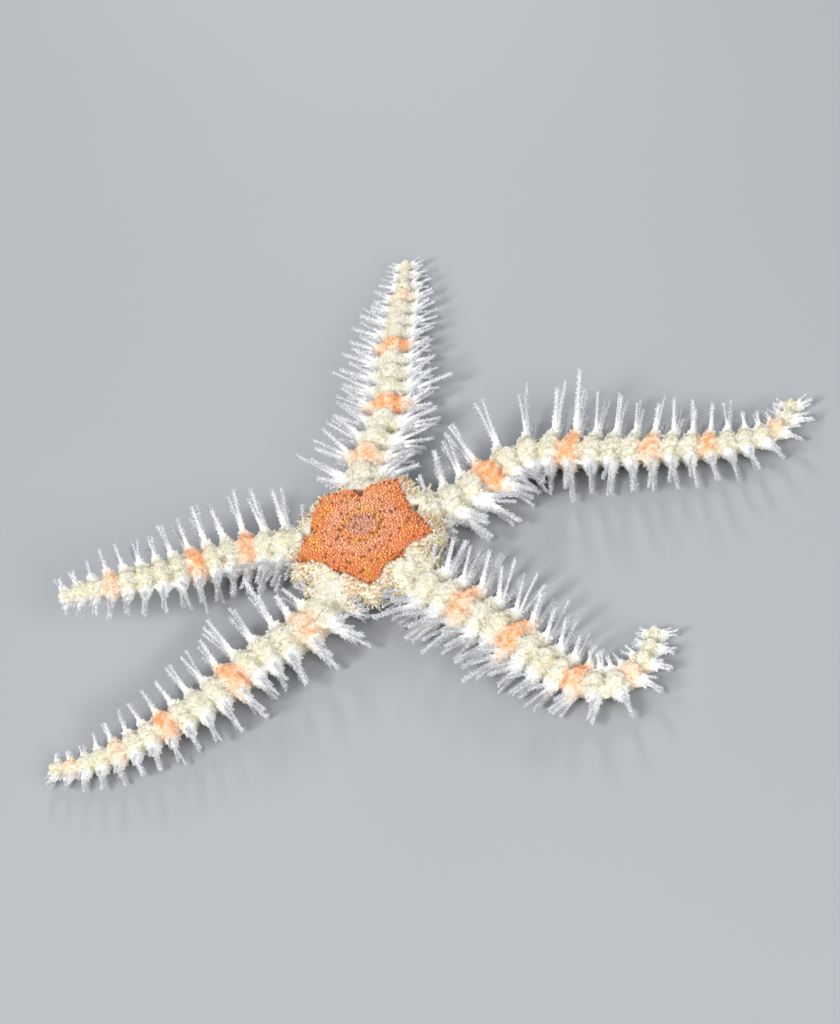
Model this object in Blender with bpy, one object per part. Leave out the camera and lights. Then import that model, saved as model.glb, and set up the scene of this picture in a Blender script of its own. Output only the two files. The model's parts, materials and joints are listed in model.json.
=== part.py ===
"""A spiny brittle star at rest on a flat surface, life size: its disc, and its five arms in lengths.

The origin is under the middle of the whole animal, on the surface that it lies on. The script works in
metres; MM turns the millimetres of the sizes below into metres. Headings and azimuths are in degrees,
anticlockwise from +X.
"""

import math
import random
from dataclasses import dataclass

import bmesh
import bpy
from mathutils import Vector
from mathutils.geometry import intersect_point_line

MM = 0.001
UP = Vector((0, 0, 1))

# The disc: a rounded pentagon, its flat sides facing the arms and its corners between them.
DISC_CENTRE = Vector((-2.55 * MM, -2.69 * MM, 0))
DISC_FLAT_RADIUS = 4.15 * MM
DISC_CORNER_RADIUS = 4.95 * MM
DISC_CORNER_ROUNDING = 0.0016 * MM
DISC_TOP = 3.2 * MM
DISC_SIDES_PER_ARM = 8
# How far out (share of the outline) and how high (mm) the disc's skin runs, from its top to the mouth.
DISC_PROFILE = (
    (0.30, 3.14),
    (0.62, 2.98),
    (0.84, 2.66),
    (0.96, 2.15),
    (1.00, 1.60),
    (0.96, 1.05),
    (0.86, 0.70),
    (0.42, 0.62),
    (0.34, 1.35),
)
MOUTH_ROOF = 1.5 * MM

# The jaws stand in the mouth between the arms: radius, width and lowest point of each of their sections.
JAW_SECTIONS = (
    (2.05 * MM, 1.35 * MM, 0.35 * MM),
    (1.05 * MM, 0.75 * MM, 0.25 * MM),
    (0.55 * MM, 0.5 * MM, 0.45 * MM),
)
JAW_TOP = 1.8 * MM

# The radial shields lie in pairs over the arms' roots: where each section is along it, and its size.
SHIELD_SECTIONS = ((-0.5, 0.35), (-0.2, 0.9), (0.25, 1.0), (0.5, 0.55))
SHIELD_SIDES = 6
SHIELD_LENGTH = 2.0 * MM
SHIELD_WIDTH = 1.2 * MM
SHIELD_THICKNESS = 0.8 * MM
SHIELD_RADIUS = 3.45 * MM
SHIELD_SPREAD = 0.85 * MM
SHIELD_HEIGHT = 2.3 * MM
SHIELD_DIP = 26.0

# The arms. Each is a chain of joints, widest at a shoulder and narrow at the waist where it meets the next.
# Widths and heights are in mm at equal steps from the root to the tip.
FIRST_AZIMUTH = 7.0
ARM_SPACING = 72.0
ROOT_INNER_RADIUS = 1.55 * MM
ROOT_INNER_WIDTH = 1.5 * MM
ROOT_INNER_HEIGHT = 1.7 * MM
ARM_START_RADIUS = 4.85 * MM
ARM_WIDTHS = (3.0, 3.1, 2.9, 2.6, 2.0, 0.9)
ARM_HEIGHTS = (2.1, 2.1, 1.9, 1.65, 1.25, 0.65)
TIP_POINT_HEIGHT = 0.45
PITCH_AT_TIP = 0.65
WAIST_WIDTH = 0.66
WAIST_HEIGHT = 0.90
SHOULDER_AT = 0.80
GAP = 0.3 * MM
LIFT_FROM = 0.12
# One half of the section from the flat underside up: share of the half width, share of the height.
HALF_SECTION = ((0.42, 0.0), (0.84, 0.20), (1.0, 0.50), (0.74, 0.82), (0.28, 1.0))

# The spines stand in a fan on each side of each joint. A spine's numbers are where it leaves the section
# (shares of the half width and of the height), its lift in degrees and its length share. FANS says from
# which share of the arm's length each fan is used.
ROOT_FAN = (
    (0.92, 0.27, 0.0, 0.50),
    (1.0, 0.50, 17.0, 0.72),
    (0.82, 0.76, 35.0, 0.95),
    (0.46, 0.93, 54.0, 1.0),
)
OUTER_FAN = ((0.94, 0.34, 2.0, 0.60), (0.94, 0.62, 26.0, 0.90), (0.52, 0.92, 50.0, 1.0))
TIP_FAN = ((0.90, 0.42, 8.0, 0.85), (0.66, 0.86, 42.0, 1.0))
FANS = ((0.0, ROOT_FAN), (0.5, OUTER_FAN), (0.85, TIP_FAN))
# The fans that face -Y droop by so many degrees, as far as the floor allows.
NEAR_DROOP = 22.0
SPINE_AT = 0.55
SPINE_LENGTHS = (3.0, 3.7, 3.2, 2.5, 1.9, 0.8)
SPINE_THICKNESS = 0.58 * MM
SPINE_THICKNESS_AT_TIP = 0.84
SPINE_NECK_AT = 0.74
SPINE_NECK_SHARE = 0.80
SPINE_SIDES = 3
SPINE_SUNK = 0.42
LIFT_DRAW = 4.0
LENGTH_DRAW = (0.88, 1.08)
SHORTER = 0.9
SHORTEST_SPINE = 0.45 * MM
CLEARANCE = 0.3 * MM
OUTER_STRETCH_FROM = 0.5
FLOOR_CLEARANCE = 0.05 * MM
SEED = 5

ROUTE_STEPS = 240
TANGENT_STEPS = 3
SMOOTH_BELOW = 35.0


@dataclass(frozen=True)
class Arm:
    """One arm: its length, joints and pieces, how it turns from root to tip, its spines and its tip.

    The spines are a share of the usual length, and lean so many degrees towards the tip. The tip is lifted,
    and rolls so many degrees over to its left.
    """

    name: str
    place: int
    length: float
    joints: int
    pieces: int
    headings: tuple
    spine_share: float
    spine_lean: float
    tip_lift: float = 0.0
    tip_roll: float = 0.0

    @property
    def azimuth(self):
        """The direction in which the arm leaves the disc."""
        return FIRST_AZIMUTH + ARM_SPACING * self.place


ARMS = (
    Arm("arm_right", 0, 24.2 * MM, 20, 4, (7, 28, -30, -27, -24, -12, 74), 0.88, 9.0),
    Arm("arm_back", 1, 21.2 * MM, 16, 4, (79, 50, 70, 72, 67, 69, 76), 0.68, 3.0),
    Arm("arm_left", 2, 15.1 * MM, 14, 4, (151, 166, 181, 186, 178, 174, 173), 0.74, 8.0, 3.0 * MM, 24.0),
    Arm("arm_front_left", 3, 19.6 * MM, 17, 4, (223, 188, 204, 195, 188, 177, 148), 0.70, 2.0),
    Arm("arm_front_right", 4, 19.7 * MM, 16, 4, (295, 304, 297, 293, 308, 392, 428), 0.72, 0.0),
)

SKINS = {
    "disc": (0.80, 0.32, 0.13),
    "arm": (0.80, 0.78, 0.66),
}
SKIN_ROUGHNESS = 0.55


@dataclass(frozen=True)
class Rod:
    """The middle line and half thickness of a spine or of a short stretch of arm, to keep clear of it."""

    start: Vector
    end: Vector
    radius: float
    node: str


def between(values, share):
    """The value at this share of the way through equally spaced values."""
    place = min(max(share, 0.0), 1.0) * (len(values) - 1)
    index = min(int(place), len(values) - 2)
    return values[index] + (values[index + 1] - values[index]) * (place - index)


def tapered(full, share_at_tip, share):
    """A size that falls evenly from full at the root to its share at the tip."""
    return full * (1 - (1 - share_at_tip) * share)


def swept(share):
    """The share of an arm's lift and roll at this share of its length: none at first, then an even sweep."""
    part = max(share - LIFT_FROM, 0.0) / (1 - LIFT_FROM)
    return part * part * (3 - 2 * part)


def towards(azimuth):
    """The level direction with this azimuth."""
    angle = math.radians(azimuth)
    return Vector((math.cos(angle), math.sin(angle), 0))


def on_disc(radius, azimuth, height=0.0):
    """A place given by its distance and azimuth from the disc's centre, and its height."""
    return DISC_CENTRE + towards(azimuth) * radius + UP * height


class Route:
    """The line along the middle of an arm's underside, walked out from the root in short steps."""

    def __init__(self, arm):
        self.arm = arm
        step = arm.length / ROUTE_STEPS
        point = on_disc(ARM_START_RADIUS, arm.azimuth)
        self.points = [point]
        for i in range(ROUTE_STEPS):
            rise = self.lift((i + 1) / ROUTE_STEPS) - self.lift(i / ROUTE_STEPS)
            level = math.sqrt(step * step - rise * rise)
            heading = between(arm.headings, (i + 0.5) / ROUTE_STEPS)
            point = point + towards(heading) * level + UP * rise
            self.points.append(point)

    def lift(self, share):
        """The height of the arm's underside, which rises in one even sweep beyond its first stretch."""
        return self.arm.tip_lift * swept(share)

    def roll(self, share):
        """How many degrees the arm is rolled over to its left, in the same even sweep."""
        return self.arm.tip_roll * swept(share)

    def frame(self, distance):
        """Where the route is at this distance from the root, and its forward, left and up directions."""
        place = min(max(distance / self.arm.length, 0.0), 1.0) * ROUTE_STEPS
        index = min(int(place), ROUTE_STEPS - 1)
        point = self.points[index].lerp(self.points[index + 1], place - index)
        before = self.points[max(index - TANGENT_STEPS + 1, 0)]
        after = self.points[min(index + TANGENT_STEPS, ROUTE_STEPS)]
        forward = (after - before).normalized()
        left = UP.cross(forward).normalized()
        up = forward.cross(left)
        roll = math.radians(self.roll(place / ROUTE_STEPS))
        rolled_left = left * math.cos(roll) - up * math.sin(roll)
        return point, forward, rolled_left, forward.cross(rolled_left)


def arm_size(share):
    """Half the arm's width and its height at this share of its length."""
    return between(ARM_WIDTHS, share) * MM / 2, between(ARM_HEIGHTS, share) * MM


def section_ring(point, left, up, half_width, height):
    """The points of the arm's section, from the left of its flat underside round over the top."""
    right_half = [(-across, rise) for across, rise in reversed(HALF_SECTION)]
    outline = list(HALF_SECTION) + right_half
    return [point + left * (across * half_width) + up * (rise * height) for across, rise in outline]


def closed_mesh(name, rings, start_point=None, end_point=None):
    """A mesh of rings joined in order and closed at both ends, by a fan to a point where one is given."""
    count = len(rings[0])
    build = bmesh.new()
    loops = [[build.verts.new(point) for point in ring] for ring in rings]
    for first, second in zip(loops, loops[1:]):
        for i in range(count):
            j = (i + 1) % count
            build.faces.new((first[i], first[j], second[j], second[i]))
    for loop, tip in ((loops[0], start_point), (loops[-1], end_point)):
        if tip is None:
            build.faces.new(loop)
            continue
        apex = build.verts.new(tip)
        for i in range(count):
            build.faces.new((loop[i], loop[(i + 1) % count], apex))
    bmesh.ops.recalc_face_normals(build, faces=build.faces)
    bmesh.ops.triangulate(build, faces=build.faces)
    mesh = bpy.data.meshes.new(name)
    build.to_mesh(mesh)
    build.free()
    return mesh


def add_object(name, mesh, collection):
    """Puts a mesh into a collection as a named object."""
    made = bpy.data.objects.new(name, mesh)
    collection.objects.link(made)
    return made


def connected(start):
    """All vertices that edges join to this one."""
    seen = {start}
    waiting = [start]
    while waiting:
        vertex = waiting.pop()
        for edge in vertex.link_edges:
            other = edge.other_vert(vertex)
            if other not in seen:
                seen.add(other)
                waiting.append(other)
    return seen


def keep_largest_surface(mesh):
    """Drops loose scraps and the walls of sealed hollows."""
    build = bmesh.new()
    build.from_mesh(mesh)
    unseen = set(build.verts)
    surfaces = []
    while unseen:
        surface = connected(next(iter(unseen)))
        unseen -= surface
        surfaces.append(surface)
    surfaces.sort(key=len, reverse=True)
    scraps = [vertex for surface in surfaces[1:] for vertex in surface]
    bmesh.ops.delete(build, geom=scraps, context="VERTS")
    bmesh.ops.triangulate(build, faces=build.faces)
    build.to_mesh(mesh)
    build.free()


def fuse(body, meshes):
    """Joins closed pieces into the body by one Boolean union, applied, and removes them."""
    pieces = bpy.data.collections.new(body.name + "_pieces")
    bpy.context.scene.collection.children.link(pieces)
    for index, mesh in enumerate(meshes):
        add_object(f"{body.name}_piece_{index}", mesh, pieces)
    union = body.modifiers.new("union", "BOOLEAN")
    union.operation = "UNION"
    union.operand_type = "COLLECTION"
    union.collection = pieces
    union.solver = "EXACT"
    graph = bpy.context.evaluated_depsgraph_get()
    joined = bpy.data.meshes.new_from_object(body.evaluated_get(graph))
    body.modifiers.clear()
    body.data = joined
    for piece in list(pieces.objects):
        bpy.data.objects.remove(piece)
    bpy.data.collections.remove(pieces)
    keep_largest_surface(joined)


def skin(kind):
    """The material of the disc or of an arm, made once."""
    name = kind + "_skin"
    material = bpy.data.materials.get(name)
    if material is None:
        material = bpy.data.materials.new(name)
        material.use_nodes = True
        shader = material.node_tree.nodes["Principled BSDF"]
        shader.inputs["Base Color"].default_value = (*SKINS[kind], 1)
        shader.inputs["Roughness"].default_value = SKIN_ROUGHNESS
        shader.inputs["Metallic"].default_value = 0.0
    return material


def build_node(name, kind, body_mesh, piece_meshes):
    """Makes one named piece of the animal: its body with the smaller forms fused in, and its skin."""
    node = add_object(name, body_mesh, bpy.context.scene.collection)
    fuse(node, piece_meshes)
    node.data.materials.clear()
    node.data.materials.append(skin(kind))
    node.data.shade_smooth()
    node.data.set_sharp_from_angle(angle=math.radians(SMOOTH_BELOW))


def disc_outline(azimuth):
    """The disc's radius at this azimuth: flat sides across the arms, rounded corners between them."""
    half = ARM_SPACING / 2
    from_arm = (azimuth - FIRST_AZIMUTH + half) % ARM_SPACING - half
    flat = DISC_FLAT_RADIUS / math.cos(math.radians(from_arm))
    corner = DISC_CORNER_RADIUS - (half - abs(from_arm)) ** 2 * DISC_CORNER_ROUNDING
    return min(flat, corner)


def disc_body():
    """The disc's own skin, from the middle of its top round its edge to the roof of its mouth."""
    count = DISC_SIDES_PER_ARM * len(ARMS)
    azimuths = [FIRST_AZIMUTH + 360.0 * i / count for i in range(count)]
    rings = [
        [on_disc(disc_outline(azimuth) * share, azimuth, height * MM) for azimuth in azimuths]
        for share, height in DISC_PROFILE
    ]
    return closed_mesh("disc_body", rings, on_disc(0, 0, DISC_TOP), on_disc(0, 0, MOUTH_ROOF))


def arm_root(azimuth):
    """The stretch of arm under the disc, from the mouth out to the flat face that the free arm meets."""
    left = UP.cross(towards(azimuth))
    start = on_disc(ROOT_INNER_RADIUS, azimuth)
    inner = section_ring(start, left, UP, ROOT_INNER_WIDTH / 2, ROOT_INNER_HEIGHT)
    half_width, height = arm_size(0)
    face = on_disc(ARM_START_RADIUS - GAP, azimuth)
    outer = section_ring(face, left, UP, half_width * WAIST_WIDTH, height * WAIST_HEIGHT)
    return closed_mesh("arm_root", [inner, outer])


def jaw(azimuth):
    """A wedge that points into the mouth from between two arms."""
    left = UP.cross(towards(azimuth))
    rings = []
    for radius, width, bottom in JAW_SECTIONS:
        middle = on_disc(radius, azimuth)
        low = ((-width / 2, bottom), (width / 2, bottom))
        corners = low + ((width / 2, JAW_TOP), (-width / 2, JAW_TOP))
        rings.append([middle + left * across + UP * height for across, height in corners])
    return closed_mesh("jaw", rings)


def radial_shield(azimuth, side):
    """One of the pair of plates over an arm's root: an oval bar that dips outwards."""
    forward = towards(azimuth)
    left = UP.cross(forward)
    dip = math.radians(SHIELD_DIP)
    run = forward * math.cos(dip) - UP * math.sin(dip)
    over = run.cross(left)
    centre = on_disc(SHIELD_RADIUS, azimuth, SHIELD_HEIGHT) + left * (side * SHIELD_SPREAD)
    rings = []
    for share, size in SHIELD_SECTIONS:
        middle = centre + run * (share * SHIELD_LENGTH)
        ring = []
        for i in range(SHIELD_SIDES):
            angle = math.tau * i / SHIELD_SIDES
            across = left * (math.cos(angle) * SHIELD_WIDTH / 2 * size)
            ring.append(middle + across + over * (math.sin(angle) * SHIELD_THICKNESS / 2 * size))
        rings.append(ring)
    return closed_mesh("radial_shield", rings)


def build_disc():
    """Makes the disc with the five arm roots, the five jaws and the ten radial shields fused in."""
    pieces = []
    for arm in ARMS:
        pieces.append(arm_root(arm.azimuth))
        pieces.append(jaw(arm.azimuth + ARM_SPACING / 2))
        pieces.append(radial_shield(arm.azimuth, -1))
        pieces.append(radial_shield(arm.azimuth, 1))
    build_node("disc", "disc", disc_body(), pieces)


def joint_starts(arm):
    """How far along the arm each joint starts, and where the last ends; they shorten towards the tip."""
    lengths = [tapered(1.0, PITCH_AT_TIP, index / (arm.joints - 1)) for index in range(arm.joints)]
    starts = [0.0]
    for length in lengths:
        starts.append(starts[-1] + length * arm.length / sum(lengths))
    return starts


def arm_body(name, route, starts, first, last):
    """The joints from first up to last: a shoulder in each, a waist between, and cut faces at the ends."""
    arm = route.arm
    places = []
    for index in range(first, last):
        begins = starts[index] + (GAP / 2 if index == first and first > 0 else 0)
        shoulder = starts[index] + (starts[index + 1] - starts[index]) * SHOULDER_AT
        places.append((begins, WAIST_WIDTH, WAIST_HEIGHT))
        places.append((shoulder, 1.0, 1.0))
    is_tip = last == arm.joints
    if not is_tip:
        places.append((starts[last] - GAP / 2, WAIST_WIDTH, WAIST_HEIGHT))
    rings = []
    for distance, width_share, height_share in places:
        point, _, left, up = route.frame(distance)
        half_width, height = arm_size(distance / arm.length)
        rings.append(section_ring(point, left, up, half_width * width_share, height * height_share))
    end_point = None
    if is_tip:
        point, _, _, up = route.frame(arm.length)
        end_point = point + up * (arm_size(1)[1] * TIP_POINT_HEIGHT)
    return closed_mesh(name, rings, None, end_point)


def spine_mesh(rod, sunk):
    """A tapering spine of a few sides, from a root sunk in the arm to a point."""
    direction = (rod.end - rod.start).normalized()
    side = direction.cross(UP).normalized()
    over = direction.cross(side)
    angles = [math.tau * i / SPINE_SIDES for i in range(SPINE_SIDES)]
    around = [side * math.cos(angle) + over * math.sin(angle) for angle in angles]
    rings = []
    for middle, radius in (
        (rod.start - direction * sunk, rod.radius),
        (rod.start.lerp(rod.end, SPINE_NECK_AT), rod.radius * SPINE_NECK_SHARE),
    ):
        rings.append([middle + outward * radius for outward in around])
    return closed_mesh("spine", rings, None, rod.end)


def kept_above(root, direction, length, lowest):
    """A spine's direction, raised where the spine would end below this height."""
    rise = max(direction.z, (lowest - root.z) / length)
    return Vector((direction.x, direction.y, rise)).normalized()


def rod_gap(first, second):
    """The least distance between two rods' surfaces, near enough: from their ends to each other's line."""
    nearest = math.inf
    ends = ((first.end, second), (first.start, second), (second.end, first), (second.start, first))
    for point, rod in ends:
        foot, share = intersect_point_line(point, rod.start, rod.end)
        foot = rod.start if share < 0 else rod.end if share > 1 else foot
        nearest = min(nearest, (point - foot).length)
    return nearest - first.radius - second.radius


class Clearances:
    """Every stretch of arm and every spine made so far, to keep a new spine clear of the other nodes."""

    def __init__(self):
        self.arms = []
        self.spines = []

    def add_arm(self, node, route, first_distance, last_distance):
        """Adds a length of arm as short rods along its middle."""
        count = math.ceil((last_distance - first_distance) / MM)
        places = [between((first_distance, last_distance), i / count) for i in range(count + 1)]
        middles = []
        for distance in places:
            point, _, _, up = route.frame(distance)
            middles.append(point + up * arm_size(distance / route.arm.length)[1] / 2)
        for distance, start, end in zip(places, middles, middles[1:]):
            self.arms.append(Rod(start, end, arm_size(distance / route.arm.length)[0], node))

    def is_clear(self, rod):
        """Whether a spine is clear of other nodes' spines, and its outer stretch of other nodes' arms."""
        reach = (rod.end - rod.start).length + max(SPINE_LENGTHS) * MM
        outer = Rod(rod.start.lerp(rod.end, OUTER_STRETCH_FROM), rod.end, rod.radius, rod.node)
        for other in self.arms:
            if other.node != rod.node and rod_gap(other, outer) < CLEARANCE:
                return False
        for other in self.spines:
            if other.node == rod.node or (other.start - rod.start).length > reach + CLEARANCE:
                continue
            if rod_gap(rod, other) < CLEARANCE:
                return False
        return True


def joint_spines(node, route, clearances, chance, start, end):
    """The spines of one joint: a fan on each side, shorter where another node is near."""
    distance = start + (end - start) * SPINE_AT
    share = distance / route.arm.length
    point, forward, left, up = route.frame(distance)
    half_width, height = arm_size(share)
    full = between(SPINE_LENGTHS, share) * route.arm.spine_share * MM
    fan = [spines for starts_at, spines in FANS if starts_at <= share][-1]
    radius = tapered(SPINE_THICKNESS, SPINE_THICKNESS_AT_TIP, share) / 2
    lean = math.radians(route.arm.spine_lean)
    sunk = half_width * SPINE_SUNK
    meshes = []
    lowest = radius + FLOOR_CLEARANCE
    for side in (-1, 1):
        nearness = max(-side * left.y, 0.0)
        droop = max(NEAR_DROOP * nearness - route.roll(share), 0.0)
        for across, rise, lift, length_share in fan:
            angle = math.radians(lift - droop + chance.uniform(-LIFT_DRAW, LIFT_DRAW))
            outward = left * (side * math.cos(angle)) + up * math.sin(angle)
            direction = outward * math.cos(lean) + forward * math.sin(lean)
            root = point + left * (side * half_width * across) + up * max(height * rise, lowest)
            length = full * length_share * chance.uniform(*LENGTH_DRAW)
            direction = kept_above(root, direction, length, lowest)
            rod = Rod(root, root + direction * length, radius, node)
            while length > SHORTEST_SPINE and not clearances.is_clear(rod):
                length *= SHORTER
                rod = Rod(root, root + direction * length, radius, node)
            clearances.spines.append(rod)
            meshes.append(spine_mesh(rod, sunk))
    return meshes


def main():
    """Clears the scene, lays out all the arms, then makes the disc and every length of arm."""
    for existing in list(bpy.data.objects):
        bpy.data.objects.remove(existing)
    chance = random.Random(SEED)
    clearances = Clearances()
    pieces = []
    for arm in ARMS:
        route = Route(arm)
        starts = joint_starts(arm)
        cuts = [round(arm.joints * i / arm.pieces) for i in range(arm.pieces + 1)]
        for number, (first, last) in enumerate(zip(cuts, cuts[1:]), start=1):
            node = f"{arm.name}_{number}"
            clearances.add_arm(node, route, starts[first], starts[last])
            pieces.append((node, route, starts, first, last))
    build_disc()
    for node, route, starts, first, last in pieces:
        spines = []
        for index in range(first, last):
            spines += joint_spines(node, route, clearances, chance, starts[index], starts[index + 1])
        build_node(node, "arm", arm_body(node, route, starts, first, last), spines)


main()
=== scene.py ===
"""The looks of a spiny brittle star, life size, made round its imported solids.

One skin covers the disc and the five arms, with no seam between them. Granules make up the orange star on
the disc, short stumps fringe it, and glassy, thorny spines stand in fans along both sides of every arm.

Sizes are in millimetres, and azimuths and headings in degrees anticlockwise from +X, unless a name says
otherwise. Meshes are made in millimetres and brought to metres when they are finished.
"""

import json
import logging
import math
import random
from collections.abc import Sequence
from dataclasses import dataclass, field
from enum import Enum

import bmesh
import bpy
import numpy as np
from bpy.types import ID, Mesh, Node, NodeSocket, NodeTree, Object
from mathutils import Matrix, Vector, noise
from mathutils.kdtree import KDTree

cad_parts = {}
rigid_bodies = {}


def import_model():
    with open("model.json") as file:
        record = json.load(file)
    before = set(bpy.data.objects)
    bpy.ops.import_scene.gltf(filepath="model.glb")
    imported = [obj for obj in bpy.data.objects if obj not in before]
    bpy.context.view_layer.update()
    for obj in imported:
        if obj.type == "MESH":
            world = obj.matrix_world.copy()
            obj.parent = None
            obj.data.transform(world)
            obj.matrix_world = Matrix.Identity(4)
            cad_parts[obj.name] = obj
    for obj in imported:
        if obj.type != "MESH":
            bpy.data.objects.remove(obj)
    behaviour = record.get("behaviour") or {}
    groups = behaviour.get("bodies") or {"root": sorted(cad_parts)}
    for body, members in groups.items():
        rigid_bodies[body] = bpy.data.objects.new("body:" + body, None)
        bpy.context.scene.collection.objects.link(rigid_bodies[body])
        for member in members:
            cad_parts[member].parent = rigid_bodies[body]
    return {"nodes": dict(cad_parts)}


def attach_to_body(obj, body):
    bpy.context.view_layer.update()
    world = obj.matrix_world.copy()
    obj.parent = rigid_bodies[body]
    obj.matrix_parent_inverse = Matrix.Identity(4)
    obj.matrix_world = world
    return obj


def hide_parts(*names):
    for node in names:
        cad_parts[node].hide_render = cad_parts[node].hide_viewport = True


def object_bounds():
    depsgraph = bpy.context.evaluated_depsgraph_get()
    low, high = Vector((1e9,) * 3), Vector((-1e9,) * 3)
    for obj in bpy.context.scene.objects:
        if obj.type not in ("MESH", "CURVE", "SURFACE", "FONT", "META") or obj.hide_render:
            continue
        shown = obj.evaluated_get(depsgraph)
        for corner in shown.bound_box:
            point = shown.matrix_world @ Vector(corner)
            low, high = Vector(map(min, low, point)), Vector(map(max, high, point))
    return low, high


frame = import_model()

SOLID_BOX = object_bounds()
LOG = logging.getLogger("brittle_star")

MM = 0.001
UP = Vector((0.0, 0.0, 1.0))
BODY = "root"
DISC_CENTRE = Vector((-2.55, -2.69, 0.0))
LEVEL_CENTRE = np.array(DISC_CENTRE.to_2d())
FIRST_AZIMUTH = 7.0
ARM_SPACING = 72.0
ARM_COUNT = 5
# The value of a measure at points that are far out of its reach.
FAR = 9.0

Span = tuple[float, float]
Colour = tuple[float, float, float]


class Mark(Enum):
    """The measures that meshes carry from point to point, for the finishes and the node trees to read."""

    STAR = "star"
    BAND = "band"
    KNOB = "knob"
    SEAM = "seam"
    ACROSS = "across"
    FRINGE = "fringe"
    BARE = "bare"
    TONE = "tone"
    ALONG = "along"
    UNWRAP = "unwrap"
    PATCH = "patch"
    AIM = "aim"
    SIZE = "size"
    TURN = "turn"
    PICK = "pick"


class SpineKind(Enum):
    """The four patterns that the spines are made from, by their length."""

    LONG = 3.4
    MIDDLE = 2.3
    SHORT = 1.4
    TINY = 0.7


class Seed:
    """What the random draws start from: fans, lumps, the spines' turns, and the draws in node trees."""

    FANS = 7
    ARM_LUMPS = 20
    ROOT_LUMPS = 30
    SPINE_TURNS = 60
    SPINE_KIND = 100
    NODE_TONE = 3
    NODE_LEAN = 5
    NODE_SIZE = 7
    NODE_PICK = 9


class Unwrap:
    """The layout of the bake map: a strip for each arm, and a round part for the disc above them."""

    MARGIN = 0.03
    LENGTH = 0.94
    STRIP_PITCH = 0.13
    STRIP_WIDTH = 0.11
    SKIN_TURN = 0.4
    SPINE_STEP = 0.08
    SPINE_EDGE = 0.9
    DISC_MIDDLE = (0.17, 0.83)
    DISC_RADIUS = 0.14
    PATCH_SIZE = 0.003

    @classmethod
    def on_arm(
        cls, strip: int, share: np.ndarray | float, turn: np.ndarray | float
    ) -> tuple[np.ndarray | float, np.ndarray | float]:
        """Lays places on an arm into its strip.

        Args:
            strip: The arm's number.
            share: The share of the way from root to tip.
            turn: The place round the arm, from 0 to 1.

        Returns:
            The two coordinates of the map.
        """
        return cls.MARGIN + cls.LENGTH * share, cls.MARGIN + cls.STRIP_PITCH * strip + cls.STRIP_WIDTH * turn

    @classmethod
    def spine_turn(cls, side: int, number: int) -> float:
        """Gives where round the arm a spine stands, by its side and its number from below."""
        return 0.5 + side * (0.5 - cls.SPINE_STEP * number) * cls.SPINE_EDGE


def between(values: Sequence[float], share: float) -> float:
    """Reads equally spaced values at a share of the way through them.

    Args:
        values: The values, from the root to the tip.
        share: The place, from 0 to 1.

    Returns:
        The value there, on straight lines between its neighbours.
    """
    place = min(max(share, 0.0), 1.0) * (len(values) - 1)
    index = min(int(place), len(values) - 2)
    return values[index] + (values[index + 1] - values[index]) * (place - index)


def smooth(values: np.ndarray | float, low: float, high: float) -> np.ndarray | float:
    """Turns values into a soft step, 0 below low and 1 above high."""
    part = np.clip((values - low) / (high - low), 0.0, 1.0)
    return part * part * (3 - 2 * part)


def towards(azimuth: float) -> Vector:
    """Gives the level direction with this azimuth."""
    angle = math.radians(azimuth)
    return Vector((math.cos(angle), math.sin(angle), 0.0))


def on_disc(radius: float, azimuth: float, height: float = 0.0) -> Vector:
    """Gives a place by its distance and azimuth from the disc's centre, and its height."""
    return DISC_CENTRE + towards(azimuth) * radius + UP * height


def from_arm(azimuth: np.ndarray | float) -> np.ndarray | float:
    """Gives the angle from the nearest arm's middle, anticlockwise."""
    half = ARM_SPACING / 2
    return (azimuth - FIRST_AZIMUTH + half) % ARM_SPACING - half


def turns(sides: int) -> list[float]:
    """Gives the angles of points that are equally spaced round a ring."""
    return [math.tau * i / sides for i in range(sides)]


def drawn(chance: random.Random, span: Span) -> float:
    """Draws a number from a span, or takes it without a draw where the span has no width."""
    return span[0] if span[0] == span[1] else chance.uniform(*span)


def count_triangles(mesh: Mesh) -> int:
    """Counts the triangles that a mesh's faces make."""
    return sum(len(polygon.vertices) - 2 for polygon in mesh.polygons)


@dataclass(frozen=True)
class Band:
    """An orange band: the joint that it lies on, counted from the root, and how deep its orange is."""

    joint: int
    depth: float


@dataclass(frozen=True)
class Arm:
    """One arm: its length and joints, how it turns from root to tip, its bands, its spines and its tip.

    The spines are a share of the usual length, and lean so many degrees towards the tip. The tip is lifted,
    and rolls so many degrees over to its left.
    """

    name: str
    place: int
    length: float
    joints: int
    headings: tuple[float, ...]
    bands: tuple[Band, ...]
    spine_share: float
    spine_lean: float
    tip_lift: float = 0.0
    tip_roll: float = 0.0

    @property
    def azimuth(self) -> float:
        """The direction in which the arm leaves the disc."""
        return FIRST_AZIMUTH + ARM_SPACING * self.place


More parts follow.
